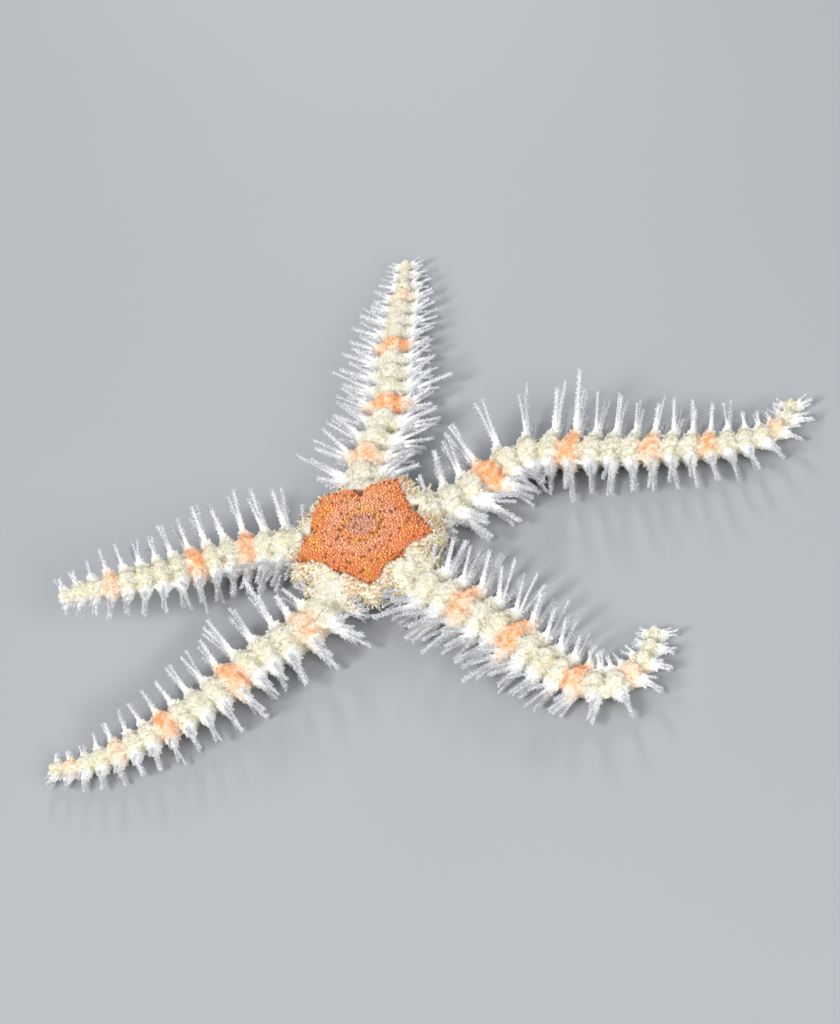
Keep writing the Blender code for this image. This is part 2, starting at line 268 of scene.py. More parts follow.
ARMS = (
    Arm(
        "arm_right", 0, 24.2, 20, (7, 28, -30, -27, -24, -12, 74),
        (Band(2, 1.0), Band(6, 0.85), Band(10, 0.7), Band(13, 0.7), Band(17, 0.45)), 0.88, 9.0,
    ),
    Arm(
        "arm_back", 1, 21.2, 16, (79, 50, 70, 72, 67, 69, 76),
        (Band(1, 0.5), Band(4, 0.95), Band(8, 0.85), Band(12, 0.35)), 0.68, 3.0,
    ),
    Arm(
        "arm_left", 2, 15.1, 14, (151, 166, 181, 186, 178, 174, 173),
        (Band(2, 0.85), Band(5, 0.85), Band(10, 0.55)), 0.74, 8.0, 3.0, 24.0,
    ),
    Arm(
        "arm_front_left", 3, 19.6, 17, (223, 188, 204, 195, 188, 177, 148),
        (Band(1, 0.6), Band(5, 1.0), Band(9, 0.85), Band(12, 0.4), Band(15, 0.4)), 0.70, 2.0,
    ),
    Arm(
        "arm_front_right", 4, 19.7, 16, (295, 304, 297, 293, 308, 392, 428),
        (Band(2, 0.75), Band(5, 0.9), Band(9, 0.85), Band(12, 0.5)), 0.72, 0.0,
    ),
)


@dataclass(frozen=True)
class Station:
    """A place on an arm's route, and its directions there."""

    point: Vector
    forward: Vector
    left: Vector
    up: Vector

    def at(self, ahead: float, aside: float, above: float) -> Vector:
        """Gives the point that lies so far forward, left and up of this station."""
        return self.point + self.forward * ahead + self.left * aside + self.up * above


class Route:
    """The line along the middle of an arm's underside, walked out from the disc in short steps."""

    START_RADIUS = 4.85
    STEPS = 240
    TANGENT_STEPS = 3
    LIFT_FROM = 0.12

    def __init__(self, arm: Arm) -> None:
        """Walks the route of one arm.

        Args:
            arm: The arm whose headings it follows.
        """
        self.arm = arm
        self.points = [on_disc(self.START_RADIUS, arm.azimuth)]
        step = arm.length / self.STEPS
        for i in range(self.STEPS):
            rise = self.lift((i + 1) / self.STEPS) - self.lift(i / self.STEPS)
            level = math.sqrt(step * step - rise * rise)
            heading = between(arm.headings, (i + 0.5) / self.STEPS)
            self.points.append(self.points[-1] + towards(heading) * level + UP * rise)

    def swept(self, share: float) -> float:
        """Gives the share of the lift and roll along the length: none at first, then an even sweep."""
        return float(smooth(share, self.LIFT_FROM, 1.0))

    def lift(self, share: float) -> float:
        """Gives the height of the arm's underside."""
        return self.arm.tip_lift * self.swept(share)

    def roll(self, share: float) -> float:
        """Gives how many degrees the arm is rolled over to its left."""
        return self.arm.tip_roll * self.swept(share)

    def station(self, distance: float) -> Station:
        """Finds the route's frame.

        Args:
            distance: The distance from the root, negative for the stretch under the disc.

        Returns:
            The place there, with its forward, left and up directions.
        """
        place = min(max(distance / self.arm.length, 0.0), 1.0) * self.STEPS
        index = min(int(place), self.STEPS - 1)
        point = self.points[index].lerp(self.points[index + 1], place - index)
        before = self.points[max(index - self.TANGENT_STEPS + 1, 0)]
        after = self.points[min(index + self.TANGENT_STEPS, self.STEPS)]
        forward = (after - before).normalized()
        if distance < 0:
            forward = towards(self.arm.azimuth)
            point = point + forward * distance
        left = UP.cross(forward).normalized()
        roll = math.radians(self.roll(place / self.STEPS))
        rolled_left = left * math.cos(roll) - forward.cross(left) * math.sin(roll)
        return Station(point, forward, rolled_left, forward.cross(rolled_left))


class Forms:
    """Collects closed forms, in millimetres, for one mesh."""

    def __init__(self) -> None:
        """Starts with no forms."""
        self.vertices: list[Sequence[float]] = []
        self.faces: list[tuple[int, ...]] = []

    def tube(self, points: Sequence[Sequence[float]], sides: int) -> range:
        """Adds rings of points, joins them in order and closes the first.

        Args:
            points: The rings' points, anticlockwise as seen from the last ring.
            sides: How many points each ring has.

        Returns:
            The numbers of the last ring's points.
        """
        first = len(self.vertices)
        self.vertices.extend(points)
        last = len(self.vertices) - sides
        for start in range(first, last, sides):
            for i in range(sides):
                a = start + i
                b = start + (i + 1) % sides
                self.faces.append((a, b, b + sides, a + sides))
        self.faces.append(tuple(reversed(range(first, first + sides))))
        return range(last, last + sides)

    def mesh(self, name: str) -> Mesh:
        """Makes one mesh of all the forms."""
        made = bpy.data.meshes.new(name)
        made.from_pydata(self.vertices, [], self.faces)
        return made


class Shell(Forms):
    """Forms that melt into one skin."""

    LUMP_SIDES = 8
    # A ball's outer rings lie this share of a row from its poles, which leaves out so much of a row.
    POLE_GAP = 0.35
    POLE_LOSS = 0.3

    def loft(self, rings: Sequence[Sequence[Vector]]) -> None:
        """Adds a form of rings joined in order and closed at both ends.

        Args:
            rings: Rings of equally many points, anticlockwise as seen from the last ring.
        """
        points = [point for ring in rings for point in ring]
        self.faces.append(tuple(self.tube(points, len(rings[0]))))

    def ball(self, centre: Vector, ahead: Vector, aside: Vector, above: Vector, sides: int = 10) -> None:
        """Adds an ellipsoid.

        Args:
            centre: Its middle.
            ahead: Its half axis along the loft.
            aside: Its second half axis.
            above: Its third half axis.
            sides: How many points go round it.
        """
        rows = sides // 2 + 1
        rings = []
        for row in range(rows):
            lean = math.pi * (row + self.POLE_GAP) / (rows - self.POLE_LOSS)
            ring = []
            for turn in turns(sides):
                across = aside * math.cos(turn) + above * math.sin(turn)
                ring.append(centre - ahead * math.cos(lean) + across * math.sin(lean))
            rings.append(ring)
        self.loft(rings)

    def lump(self, centre: Vector, axes: Sequence[Vector], radius: float, form: Sequence[float]) -> None:
        """Adds a coarse ellipsoid.

        Args:
            centre: Its middle.
            axes: Its directions ahead, aside and above.
            radius: Its size.
            form: The shares of that size that it reaches in these directions.
        """
        ahead, aside, above = (axis * radius * share for axis, share in zip(axes, form))
        self.ball(centre, ahead, aside, above, self.LUMP_SIDES)


@dataclass(frozen=True)
class SpineRoot:
    """Where one spine stands: its root, its direction, its length and girth, and where the unwrap puts it."""

    place: Vector
    aim: Vector
    length: float
    girth: float
    band: float
    unwrap: Span


@dataclass(frozen=True)
class Plate:
    """A plate on a joint's back or belly, in shares of the joint's pitch, half width and height."""

    ahead: float
    above: float
    half_length: float
    half_width: float
    half_height: float
    tilt: float = 0.0


@dataclass
class ArmBody:
    """The body of one arm: a jointed trunk with plates round every joint, and its spines' roots."""

    arm: Arm
    widths: tuple[float, ...] = (3.15, 3.1, 2.9, 2.6, 2.1, 1.2)
    heights: tuple[float, ...] = (2.15, 2.1, 1.9, 1.65, 1.3, 0.8)
    pitch_at_tip: float = 0.65
    # The joint in the disc's notch has this share of the first joint's pitch.
    notch_pitch: float = 0.75
    # The trunk between its joints as shares of the width and height, how much it swells at a joint, and its
    # end at the tip.
    trunk_shares: Span = (0.51, 0.84)
    trunk_swell: float = 0.10
    trunk_phases: tuple[float, ...] = (0.02, 0.2, 0.45, 0.7, 0.9)
    trunk_end: Span = (0.25, 0.6)
    root_reach: float = 3.3
    section_sides: int = 22
    # A section's middle, its reach up and down from there, and its flat underside, as shares of its height.
    section_middle: float = 0.46
    section_reach: float = 0.54
    section_flat: float = 0.03
    plate_sides: int = 12
    # Each ring of a side plate: share of the half width, centre and half length along the joint as shares of
    # the pitch, and half height and centre height as shares of the arm's height.
    plate_rings: tuple[tuple[float, ...], ...] = (
        (0.20, 0.48, 0.46, 0.42, 0.47),
        (0.50, 0.50, 0.50, 0.42, 0.47),
        (0.68, 0.55, 0.42, 0.39, 0.48),
        (0.86, 0.60, 0.32, 0.36, 0.49),
        (1.02, 0.65, 0.23, 0.32, 0.50),
        (1.12, 0.68, 0.15, 0.20, 0.50),
    )
    back_plate: Plate = Plate(0.06, 0.90, 0.50, 0.50, 0.13, 0.12)
    belly_plate: Plate = Plate(0.0, 0.09, 0.40, 0.42, 0.08)
    # The lumps of the upper side: where they begin, the share of the length that they reach, how far apart
    # they lie, and how many times further away from the disc, less so much near it.
    lump_span: Span = (-1.3, 0.92)
    lump_step: Span = (0.10, 0.24)
    lump_spread: Span = (2.2, 1.2)
    # Their size where the arm has this half width, how much larger they are near the disc, and how far that
    # reaches.
    lump_radius: Span = (0.16, 0.28)
    lump_width: float = 1.5
    lump_growth: float = 0.35
    lump_reach: float = 5.0
    # Their angle over the arm, their place aside and the middle and reach of their place up, and their form.
    lump_turn: Span = (15.0, 165.0)
    lump_place: tuple[float, float, float] = (0.74, 0.44, 0.42)
    lump_form: tuple[float, float, float] = (1.15, 1.0, 0.85)
    # Each spine of a fan: share of the half width, share of the height, lift in degrees and length share.
    full_fan: tuple[tuple[float, ...], ...] = (
        (0.94, 0.24, 2.0, 0.52),
        (1.02, 0.38, 14.0, 0.72),
        (1.04, 0.52, 27.0, 0.90),
        (0.98, 0.66, 39.0, 1.0),
        (0.86, 0.79, 51.0, 0.96),
    )
    outer_fan: tuple[tuple[float, ...], ...] = (
        (0.94, 0.28, 2.0, 0.60),
        (1.03, 0.46, 18.0, 0.86),
        (1.00, 0.63, 33.0, 1.0),
        (0.86, 0.79, 48.0, 0.95),
    )
    tip_fan: tuple[tuple[float, ...], ...] = (
        (0.92, 0.36, 6.0, 0.80),
        (0.90, 0.64, 24.0, 1.0),
        (0.65, 0.86, 42.0, 1.0),
    )
    outer_fan_from: float = 0.45
    tip_fan_from: float = 0.86
    notch_fan: float = 0.6
    spine_at: float = 0.66
    spine_rise: float = 0.97
    spine_lengths: tuple[float, ...] = (2.9, 3.65, 3.2, 2.5, 1.9, 0.8)
    # A fan's lowest spines aren't turned up or down.
    steady_lift: float = 5.0
    angle_draw: float = 8.0
    length_draw: Span = (0.76, 1.12)
    # A few spines are overlong: how many, by how much, and how far from the tip's fans they stay.
    overlong: float = 0.05
    overlong_stretch: float = 1.4
    overlong_gap: float = 0.16
    girth_at_tip: float = 0.62
    shortest: float = 0.45
    # The fans that face -Y droop by so many degrees, as far as the floor allows.
    near_droop: float = 22.0
    lowest_end: float = 0.34
    highest_end: float = SOLID_BOX[1][2] / MM - 0.35
    # Spines are shorter on the inside of a bend, in proportion to how sharply the arm turns.
    bend_reach: float = 1.0
    bend_share: float = 2.2
    most_crowded: float = 0.42
    route: Route = field(init=False)
    starts: list[float] = field(init=False)

    def __post_init__(self) -> None:
        """Walks the route and shares out the joints, which are shorter towards the tip."""
        self.route = Route(self.arm)
        last = self.arm.joints - 1
        lengths = [1 - (1 - self.pitch_at_tip) * index / last for index in range(self.arm.joints)]
        self.starts = [0.0]
        for length in lengths:
            self.starts.append(self.starts[-1] + length * self.arm.length / sum(lengths))

    def size(self, distance: float) -> Span:
        """Gives half the arm's width and its height at a distance from the root."""
        share = distance / self.arm.length
        return between(self.widths, share) / 2, between(self.heights, share)

    def joint_span(self, index: int) -> Span:
        """Gives where a joint starts and its length; joint -1 lies in the disc's notch."""
        if index < 0:
            pitch = self.starts[1] * self.notch_pitch
            return -pitch, pitch
        return self.starts[index], self.starts[index + 1] - self.starts[index]

    def joint_place(self, distance: np.ndarray) -> np.ndarray:
        """Turns distances along the arm into joints counted from the root, with fractions."""
        return np.interp(distance, self.starts, np.arange(len(self.starts)))

    def section(self, station: Station, half_width: float, height: float) -> list[Vector]:
        """Makes a rounded section that is flat below.

        Args:
            station: Where it stands.
            half_width: Half its width.
            height: Its height.

        Returns:
            Its points, anticlockwise as seen from the arm's tip.
        """
        points = []
        for turn in turns(self.section_sides):
            above = max(self.section_middle + self.section_reach * math.sin(turn), self.section_flat)
            points.append(station.at(0.0, -math.cos(turn) * half_width, above * height))
        return list(reversed(points))

    def add_trunk(self, shell: Shell) -> None:
        """Adds the jointed trunk, from the mouth to the tip.

        Args:
            shell: The skin's forms.
        """
        stretches = [(-self.root_reach, 0.0), (-self.root_reach / 2, 0.0)]
        for index in range(-1, self.arm.joints):
            start, pitch = self.joint_span(index)
            for phase in self.trunk_phases:
                stretches.append((start + pitch * phase, math.sin(math.pi * phase)))
        rings = []
        for distance, swell in stretches:
            half_width, height = self.size(distance)
            across, up = (share + self.trunk_swell * swell for share in self.trunk_shares)
            rings.append(self.section(self.route.station(distance), half_width * across, height * up))
        end = self.route.station(self.arm.length)
        half_width, height = self.size(self.arm.length)
        rings.append(self.section(end, half_width * self.trunk_end[0], height * self.trunk_end[1]))
        shell.loft(rings)

    def add_plates(self, shell: Shell, index: int) -> None:
        """Adds a joint's two side plates, its back plate and its belly plate.

        Args:
            shell: The skin's forms.
            index: The joint.
        """
        start, pitch = self.joint_span(index)
        middle = start + pitch * 0.5
        station = self.route.station(middle)
        half_width, height = self.size(middle)
        for side in (-1, 1):
            rings = []
            for aside, ahead, half_length, half_height, above in self.plate_rings:
                ring = []
                for turn in turns(self.plate_sides):
                    along = (ahead - 0.5 + half_length * math.cos(turn)) * pitch
                    rise = (above + half_height * math.sin(turn)) * height
                    ring.append(station.at(along, side * aside * half_width, rise))
                rings.append(ring if side < 0 else list(reversed(ring)))
            shell.loft(rings)
        for plate in (self.back_plate, self.belly_plate):
            tilted = (station.forward + station.up * plate.tilt).normalized()
            run = tilted if plate.tilt else station.forward
            shell.ball(
                station.at(plate.ahead * pitch, 0.0, plate.above * height),
                run * plate.half_length * pitch,
                station.left * plate.half_width * half_width,
                station.up * plate.half_height * height,
            )

    def add_lumps(self, shell: Shell, chance: random.Random) -> None:
        """Adds small uneven lumps to the arm's upper side, largest near the disc.

        Args:
            shell: The skin's forms.
            chance: The source of their differences.
        """
        distance, reach = self.lump_span
        aside, middle, swing = self.lump_place
        while distance < self.arm.length * reach:
            near = 1 - min(max(distance, 0.0) / self.lump_reach, 1.0)
            half_width, height = self.size(distance)
            turn = math.radians(chance.uniform(*self.lump_turn))
            size = chance.uniform(*self.lump_radius) * (half_width / self.lump_width)
            station = self.route.station(distance)
            above = (middle + swing * math.sin(turn)) * height
            centre = station.at(0.0, math.cos(turn) * half_width * aside, above)
            axes = (station.forward, station.left, station.up)
            shell.lump(centre, axes, size * (1 + self.lump_growth * near), self.lump_form)
            distance += chance.uniform(*self.lump_step) * (self.lump_spread[0] - self.lump_spread[1] * near)

    def band_at(self, joint: int) -> float:
        """Gives how orange a joint is, from 0 to 1."""
        return next((band.depth for band in self.arm.bands if band.joint == joint), 0.0)

    def fan_at(self, share: float) -> tuple[tuple[float, ...], ...]:
        """Gives the fan that stands at a share of the arm's length."""
        if share > self.tip_fan_from:
            return self.tip_fan
        return self.full_fan if share < self.outer_fan_from else self.outer_fan

    def crowding(self, distance: float, side: int) -> float:
        """Gives the share of their length that the spines on one side of a bend lose.

        Args:
            distance: The distance from the arm's root.
            side: 1 for the left side and -1 for the right.

        Returns:
            The share.
        """
        before = self.route.station(distance - self.bend_reach).forward
        after = self.route.station(distance + self.bend_reach).forward
        turn = before.cross(after).z / (2 * self.bend_reach)
        return min(max(side * turn * self.bend_share, 0.0), self.most_crowded)

    def spine_roots(self, chance: random.Random, obstacles: "Obstacles") -> list[SpineRoot]:
        """Sets out the arm's spines, shorter where they would run into an arm.

        Args:
            chance: The source of their small differences.
            obstacles: The trunks that they keep clear of.

        Returns:
            The root of every spine.
        """
        roots = []
        for index in range(-1, self.arm.joints):
            start, pitch = self.joint_span(index)
            distance = start + pitch * self.spine_at
            share = max(distance, 0.0) / self.arm.length
            full = between(self.spine_lengths, share) * self.arm.spine_share
            full *= self.notch_fan if index < 0 else 1.0
            girth = 1 - (1 - self.girth_at_tip) * share
            overlong = self.overlong if index >= 0 and share < self.tip_fan_from - self.overlong_gap else 0.0
            station = self.route.station(distance)
            half_width, height = self.size(distance)
            for side in (-1, 1):
                nearness = max(-side * station.left.y, 0.0)
                droop = max(self.near_droop * nearness - self.route.roll(share), 0.0)
                fitting = full * (1 - self.crowding(distance, side))
                for number, (aside, above, lift, length_share) in enumerate(self.fan_at(share)):
                    wobble = chance.uniform(-self.angle_draw, self.angle_draw) * (lift > self.steady_lift)
                    angle = math.radians(lift - droop + wobble)
                    sway = chance.uniform(-self.angle_draw, self.angle_draw)
                    lean = math.radians(self.arm.spine_lean + sway)
                    outward = station.left * (side * math.cos(angle)) + station.up * math.sin(angle)
                    aim = outward * math.cos(lean) + station.forward * math.sin(lean)
                    place = station.at(0.0, side * half_width * aside, above * height * self.spine_rise)
                    wanted = fitting * length_share * chance.uniform(*self.length_draw)
                    if chance.random() < overlong:
                        wanted *= self.overlong_stretch
                    low = (self.lowest_end - place.z) / wanted
                    high = (self.highest_end - place.z) / wanted
                    aim = Vector((aim.x, aim.y, min(max(aim.z, low), high))).normalized()
                    length = obstacles.clear_length(place, aim, wanted, self, distance)
                    spot = Unwrap.on_arm(self.arm.place, share, Unwrap.spine_turn(side, number))
                    roots.append(SpineRoot(place, aim, length, girth, self.band_at(index), spot))
        return roots


class Obstacles:
    """The trunks of all arms, for spines to keep clear of."""

    SPACING = 0.4
    CLEARANCE = 0.15
    OWN_REACH = 2.6
    SHORTER = 0.88
    SEARCH = 1.8
    # The shares of a spine's length at which it is looked at.
    PARTS = (0.6, 0.8, 1.0)

    def __init__(self, bodies: Sequence[ArmBody]) -> None:
        """Fills a tree with points along the middle of every trunk.

        Args:
            bodies: The arms.
        """
        self.marks: list[tuple[ArmBody, float, float]] = []
        centres = []
        for body in bodies:
            count = int(body.arm.length / self.SPACING)
            for i in range(count + 1):
                distance = body.arm.length * i / count
                half_width, height = body.size(distance)
                station = body.route.station(distance)
                centres.append(station.at(0.0, 0.0, height / 2))
                self.marks.append((body, distance, half_width))
        self.tree = KDTree(len(centres))
        for index, centre in enumerate(centres):
            self.tree.insert(centre, index)
        self.tree.balance()

    def clear_length(
        self, place: Vector, aim: Vector, length: float, body: ArmBody, distance: float
    ) -> float:
        """Shortens a spine until its outer part is clear of every trunk but its own joint's.

        Args:
            place: The spine's root.
            aim: Its direction.
            length: Its wanted length.
            body: The arm that it grows from.
            distance: How far along that arm it grows.

        Returns:
            The length that is clear, or the shortest that a spine may have.
        """
        while length > body.shortest:
            if not any(self.hits(place + aim * length * part, body, distance) for part in self.PARTS):
                return length
            length *= self.SHORTER
        return max(length, body.shortest)

    def hits(self, point: Vector, body: ArmBody, distance: float) -> bool:
        """Tells whether a point lies in a trunk, other than near its own joint.

        Args:
            point: The point.
            body: The arm that its spine grows from.
            distance: How far along that arm the spine grows.

        Returns:
            Whether it lies in one.
        """
        for _, index, gap in self.tree.find_range(point, self.SEARCH):
            other, place, half_width = self.marks[index]
            own = other is body and abs(place - distance) < self.OWN_REACH
            if not own and gap < half_width + self.CLEARANCE:
                return True
        return False


@dataclass
class Disc:
    """The disc: a rounded pentagon with a star on its top, shields over the arms' roots, and the jaws."""

    flat_radius: float = 4.15
    corner_radius: float = 4.95
    corner_rounding: float = 0.0016
    sides: int = 80
    # Share of the outline and height of each ring of the skin, from the top round to the mouth.
    profile: tuple[Span, ...] = (
        (0.05, 3.14), (0.30, 3.08), (0.50, 2.99), (0.66, 2.86), (0.80, 2.66), (0.90, 2.38), (0.97, 2.02),
        (1.0, 1.60), (0.97, 1.15), (0.90, 0.82), (0.78, 0.68), (0.42, 0.62), (0.35, 1.0), (0.30, 1.35),
        (0.05, 1.5),
    )
    # Azimuth and radius of the star's tips and notches.
    star: tuple[Span, ...] = (
        (7, 3.15), (46, 4.40), (75, 3.60), (109, 4.60), (149, 3.70),
        (182, 4.40), (221, 3.10), (259, 4.45), (297, 3.25), (332, 4.40),
    )
    star_wobble: float = 0.16
    # The lumps where an arm leaves the disc: how many, how many degrees to each side, how far out, how large.
    root_lumps: int = 26
    root_spread: float = 20.0
    root_radii: Span = (3.45, 4.9)
    root_sizes: Span = (0.22, 0.4)
    root_form: tuple[float, float, float] = (1.0, 0.9, 0.8)
    # Their height at a radius, how far it falls for each millimetre outwards and at the sides, and what share
    # of their own size they keep from the star.
    root_top: float = 2.55
    root_top_radius: float = 3.4
    root_fall: float = 0.42
    root_side_fall: float = 0.45
    root_overlap: float = 0.6
    # The prickly edge fades in over these angles from an arm and heights, and out over these radii.
    fringe_angles: Span = (9.0, 21.0)
    fringe_heights: Span = (1.05, 1.35)
    fringe_radii: Span = (4.9, 5.15)
    shield_radius: float = 3.55
    shield_spread: float = 0.85
    shield_height: float = 2.22
    shield_dip: float = 26.0
    shield_half_length: float = 0.95
    shield_half_width: float = 0.58
    shield_half_thickness: float = 0.34
    shield_sides: int = 14
    # Radius, width and lowest height of each section of a jaw.
    jaw_sections: tuple[tuple[float, float, float], ...] = (
        (2.05, 1.35, 0.35), (1.05, 0.75, 0.25), (0.55, 0.5, 0.45),
    )
    jaw_top: float = 1.8
    jaw_sides: int = 12
    tooth_radius: float = 0.55
    tooth_levels: tuple[float, ...] = (0.5, 0.8, 1.1)
    tooth_reach: tuple[float, float, float] = (-0.3, 0.14, 0.1)

    def outline(self, azimuth: float) -> float:
        """Gives the disc's radius: flat sides across the arms, rounded corners between them.

        Args:
            azimuth: The direction from the disc's centre.

        Returns:
            The radius there.
        """
        angle = from_arm(azimuth)
        flat = self.flat_radius / math.cos(math.radians(angle))
        corner = self.corner_radius - (ARM_SPACING / 2 - abs(angle)) ** 2 * self.corner_rounding
        return min(flat, corner)

    def add_forms(self, shell: Shell) -> None:
        """Adds the disc's body, its shields, lumps, jaws and teeth.

        Args:
            shell: The skin's forms.
        """
        azimuths = [360.0 * i / self.sides for i in range(self.sides)]
        rings = [
            [on_disc(self.outline(azimuth) * share, azimuth, height) for azimuth in azimuths]
            for share, height in self.profile
        ]
        shell.loft(list(reversed(rings)))
        for place in range(ARM_COUNT):
            azimuth = FIRST_AZIMUTH + ARM_SPACING * place
            for side in (-1, 1):
                self.add_shield(shell, azimuth, side)
            self.add_jaw(shell, azimuth + ARM_SPACING / 2)
            self.add_lumps(shell, azimuth, random.Random(place + Seed.ROOT_LUMPS))

    def add_lumps(self, shell: Shell, azimuth: float, chance: random.Random) -> None:
        """Heaps lumps where an arm leaves the disc.

        Args:
            shell: The skin's forms.
            azimuth: The arm's direction.
            chance: The source of the lumps' places and sizes.
        """
        for _ in range(self.root_lumps):
            aside = chance.uniform(-self.root_spread, self.root_spread)
            distance = chance.uniform(*self.root_radii)
            radius = chance.uniform(*self.root_sizes)
            fall = (distance - self.root_top_radius) * self.root_fall
            side_fall = (aside / self.root_spread) ** 2 * self.root_side_fall
            ahead = towards(azimuth + aside)
            centre = on_disc(distance, azimuth + aside, self.root_top - fall - side_fall)
            if self.star_distance(np.array([centre.to_2d()]))[0] > -radius * self.root_overlap:
                continue
            shell.lump(centre, (ahead, UP.cross(ahead), UP), radius, self.root_form)

    def fringe(self, places: np.ndarray) -> np.ndarray:
        """Tells how far points belong to the disc's prickly edge between the arms.

        Args:
            places: Points as rows, in millimetres.

        Returns:
            A value for each, from 0 to 1.
        """
        offset = places[:, :2] - LEVEL_CENTRE
        angle = np.abs(from_arm(np.degrees(np.arctan2(offset[:, 1], offset[:, 0]))))
        outside = smooth(np.linalg.norm(offset, axis=1), *self.fringe_radii)
        return smooth(angle, *self.fringe_angles) * (1 - outside) * smooth(places[:, 2], *self.fringe_heights)

    def add_shield(self, shell: Shell, azimuth: float, side: int) -> None:
        """Adds one of the pair of plates over an arm's root.

        Args:
            shell: The skin's forms.
            azimuth: The arm's direction.
            side: 1 for the left plate and -1 for the right.
        """
        forward = towards(azimuth)
        left = UP.cross(forward)
        dip = math.radians(self.shield_dip)
        run = forward * math.cos(dip) - UP * math.sin(dip)
        middle = on_disc(self.shield_radius, azimuth, self.shield_height)
        shell.ball(
            middle + left * (side * self.shield_spread), run * self.shield_half_length,
            left * self.shield_half_width, run.cross(left) * self.shield_half_thickness, self.shield_sides,
        )

    def add_jaw(self, shell: Shell, azimuth: float) -> None:
        """Adds a wedge that points into the mouth, with its teeth.

        Args:
            shell: The skin's forms.
            azimuth: The direction in which it lies.
        """
        left = UP.cross(towards(azimuth))
        rings = []
        for radius, width, bottom in self.jaw_sections:
            middle = on_disc(radius, azimuth)
            ring = []
            for turn in turns(self.jaw_sides):
                height = (bottom + self.jaw_top) / 2 + math.sin(turn) * (self.jaw_top - bottom) / 2
                ring.append(middle + left * (math.cos(turn) * width / 2) + UP * height)
            rings.append(ring)
        shell.loft(rings)
        ahead, aside, above = self.tooth_reach
        for level in self.tooth_levels:
            tooth = on_disc(self.tooth_radius, azimuth, level)
            shell.ball(tooth, towards(azimuth) * ahead, left * aside, UP * above, Shell.LUMP_SIDES)

    def star_distance(self, places: np.ndarray) -> np.ndarray:
        """Measures how far points lie inside the star's outline, seen from above.

        Args:
            places: Points as rows of x and y, in millimetres.

        Returns:
            The distance to the outline, positive inside it.
        """
        corners = [on_disc(radius, azimuth).to_2d() for azimuth, radius in self.star]
        nearest = np.full(len(places), np.inf)
        inside = np.zeros(len(places), bool)
        for start, end in zip(corners, corners[1:] + corners[:1]):
            edge = np.array(end - start)
            offset = places - np.array(start)
            share = np.clip(offset @ edge / (edge @ edge), 0.0, 1.0)
            gap = np.linalg.norm(offset - share[:, None] * edge, axis=1)
            nearest = np.minimum(nearest, gap)
            rising = (start.y > places[:, 1]) != (end.y > places[:, 1])
            drop = end.y - start.y
            crossing = start.x + (places[:, 1] - start.y) * (end.x - start.x) / (drop if drop else 1e-9)
            inside ^= rising & (places[:, 0] < crossing)
        return np.where(inside, nearest, -nearest)

    def unwrap(self, places: np.ndarray) -> np.ndarray:
        """Lays points of the disc's top into its round part of the unwrap."""
        offset = (places - LEVEL_CENTRE) / self.corner_radius
        return np.array(Unwrap.DISC_MIDDLE) + offset * Unwrap.DISC_RADIUS


class Scratch:
    """Helpers for the scene's objects and meshes."""

    @staticmethod
    def add(name: str, data: ID) -> Object:
        """Puts a mesh, a light or a camera into the scene as an object at the origin."""
        made = bpy.data.objects.new(name, data)
        bpy.context.scene.collection.objects.link(made)
        return made

    @staticmethod
    def settle(item: Object) -> Mesh:
        """Reads an object's mesh with its modifiers applied, and removes the object.

        Args:
            item: The object.

        Returns:
            The plain mesh.
        """
        graph = bpy.context.evaluated_depsgraph_get()
        mesh = bpy.data.meshes.new_from_object(item.evaluated_get(graph))
        bpy.data.objects.remove(item)
        return mesh

    @staticmethod
    def rows(data: "bpy.types.bpy_prop_collection", key: str) -> np.ndarray:
        """Reads a vector of each vertex as rows.

        Args:
            data: The mesh's vertices, or one of its attributes' data.
            key: Which vector.

        Returns:
            The rows.
        """
        flat = np.zeros(len(data) * 3, np.float32)
        data.foreach_get(key, flat)
        return flat.reshape(-1, 3)

    @staticmethod
    def store(mesh: Mesh, mark: Mark, values: np.ndarray) -> None:
        """Writes a measure onto a mesh's vertices.

        Args:
            mesh: The mesh.
            mark: The measure.
            values: A number or a row of three for each vertex.
        """
        whole = values.dtype.kind == "i"
        kind, key = ("FLOAT_VECTOR", "vector") if values.ndim == 2 else ("INT" if whole else "FLOAT", "value")
        layer = mesh.attributes.new(mark.value, kind, "POINT")
        layer.data.foreach_set(key, np.ascontiguousarray(values, np.int32 if whole else np.float32).ravel())


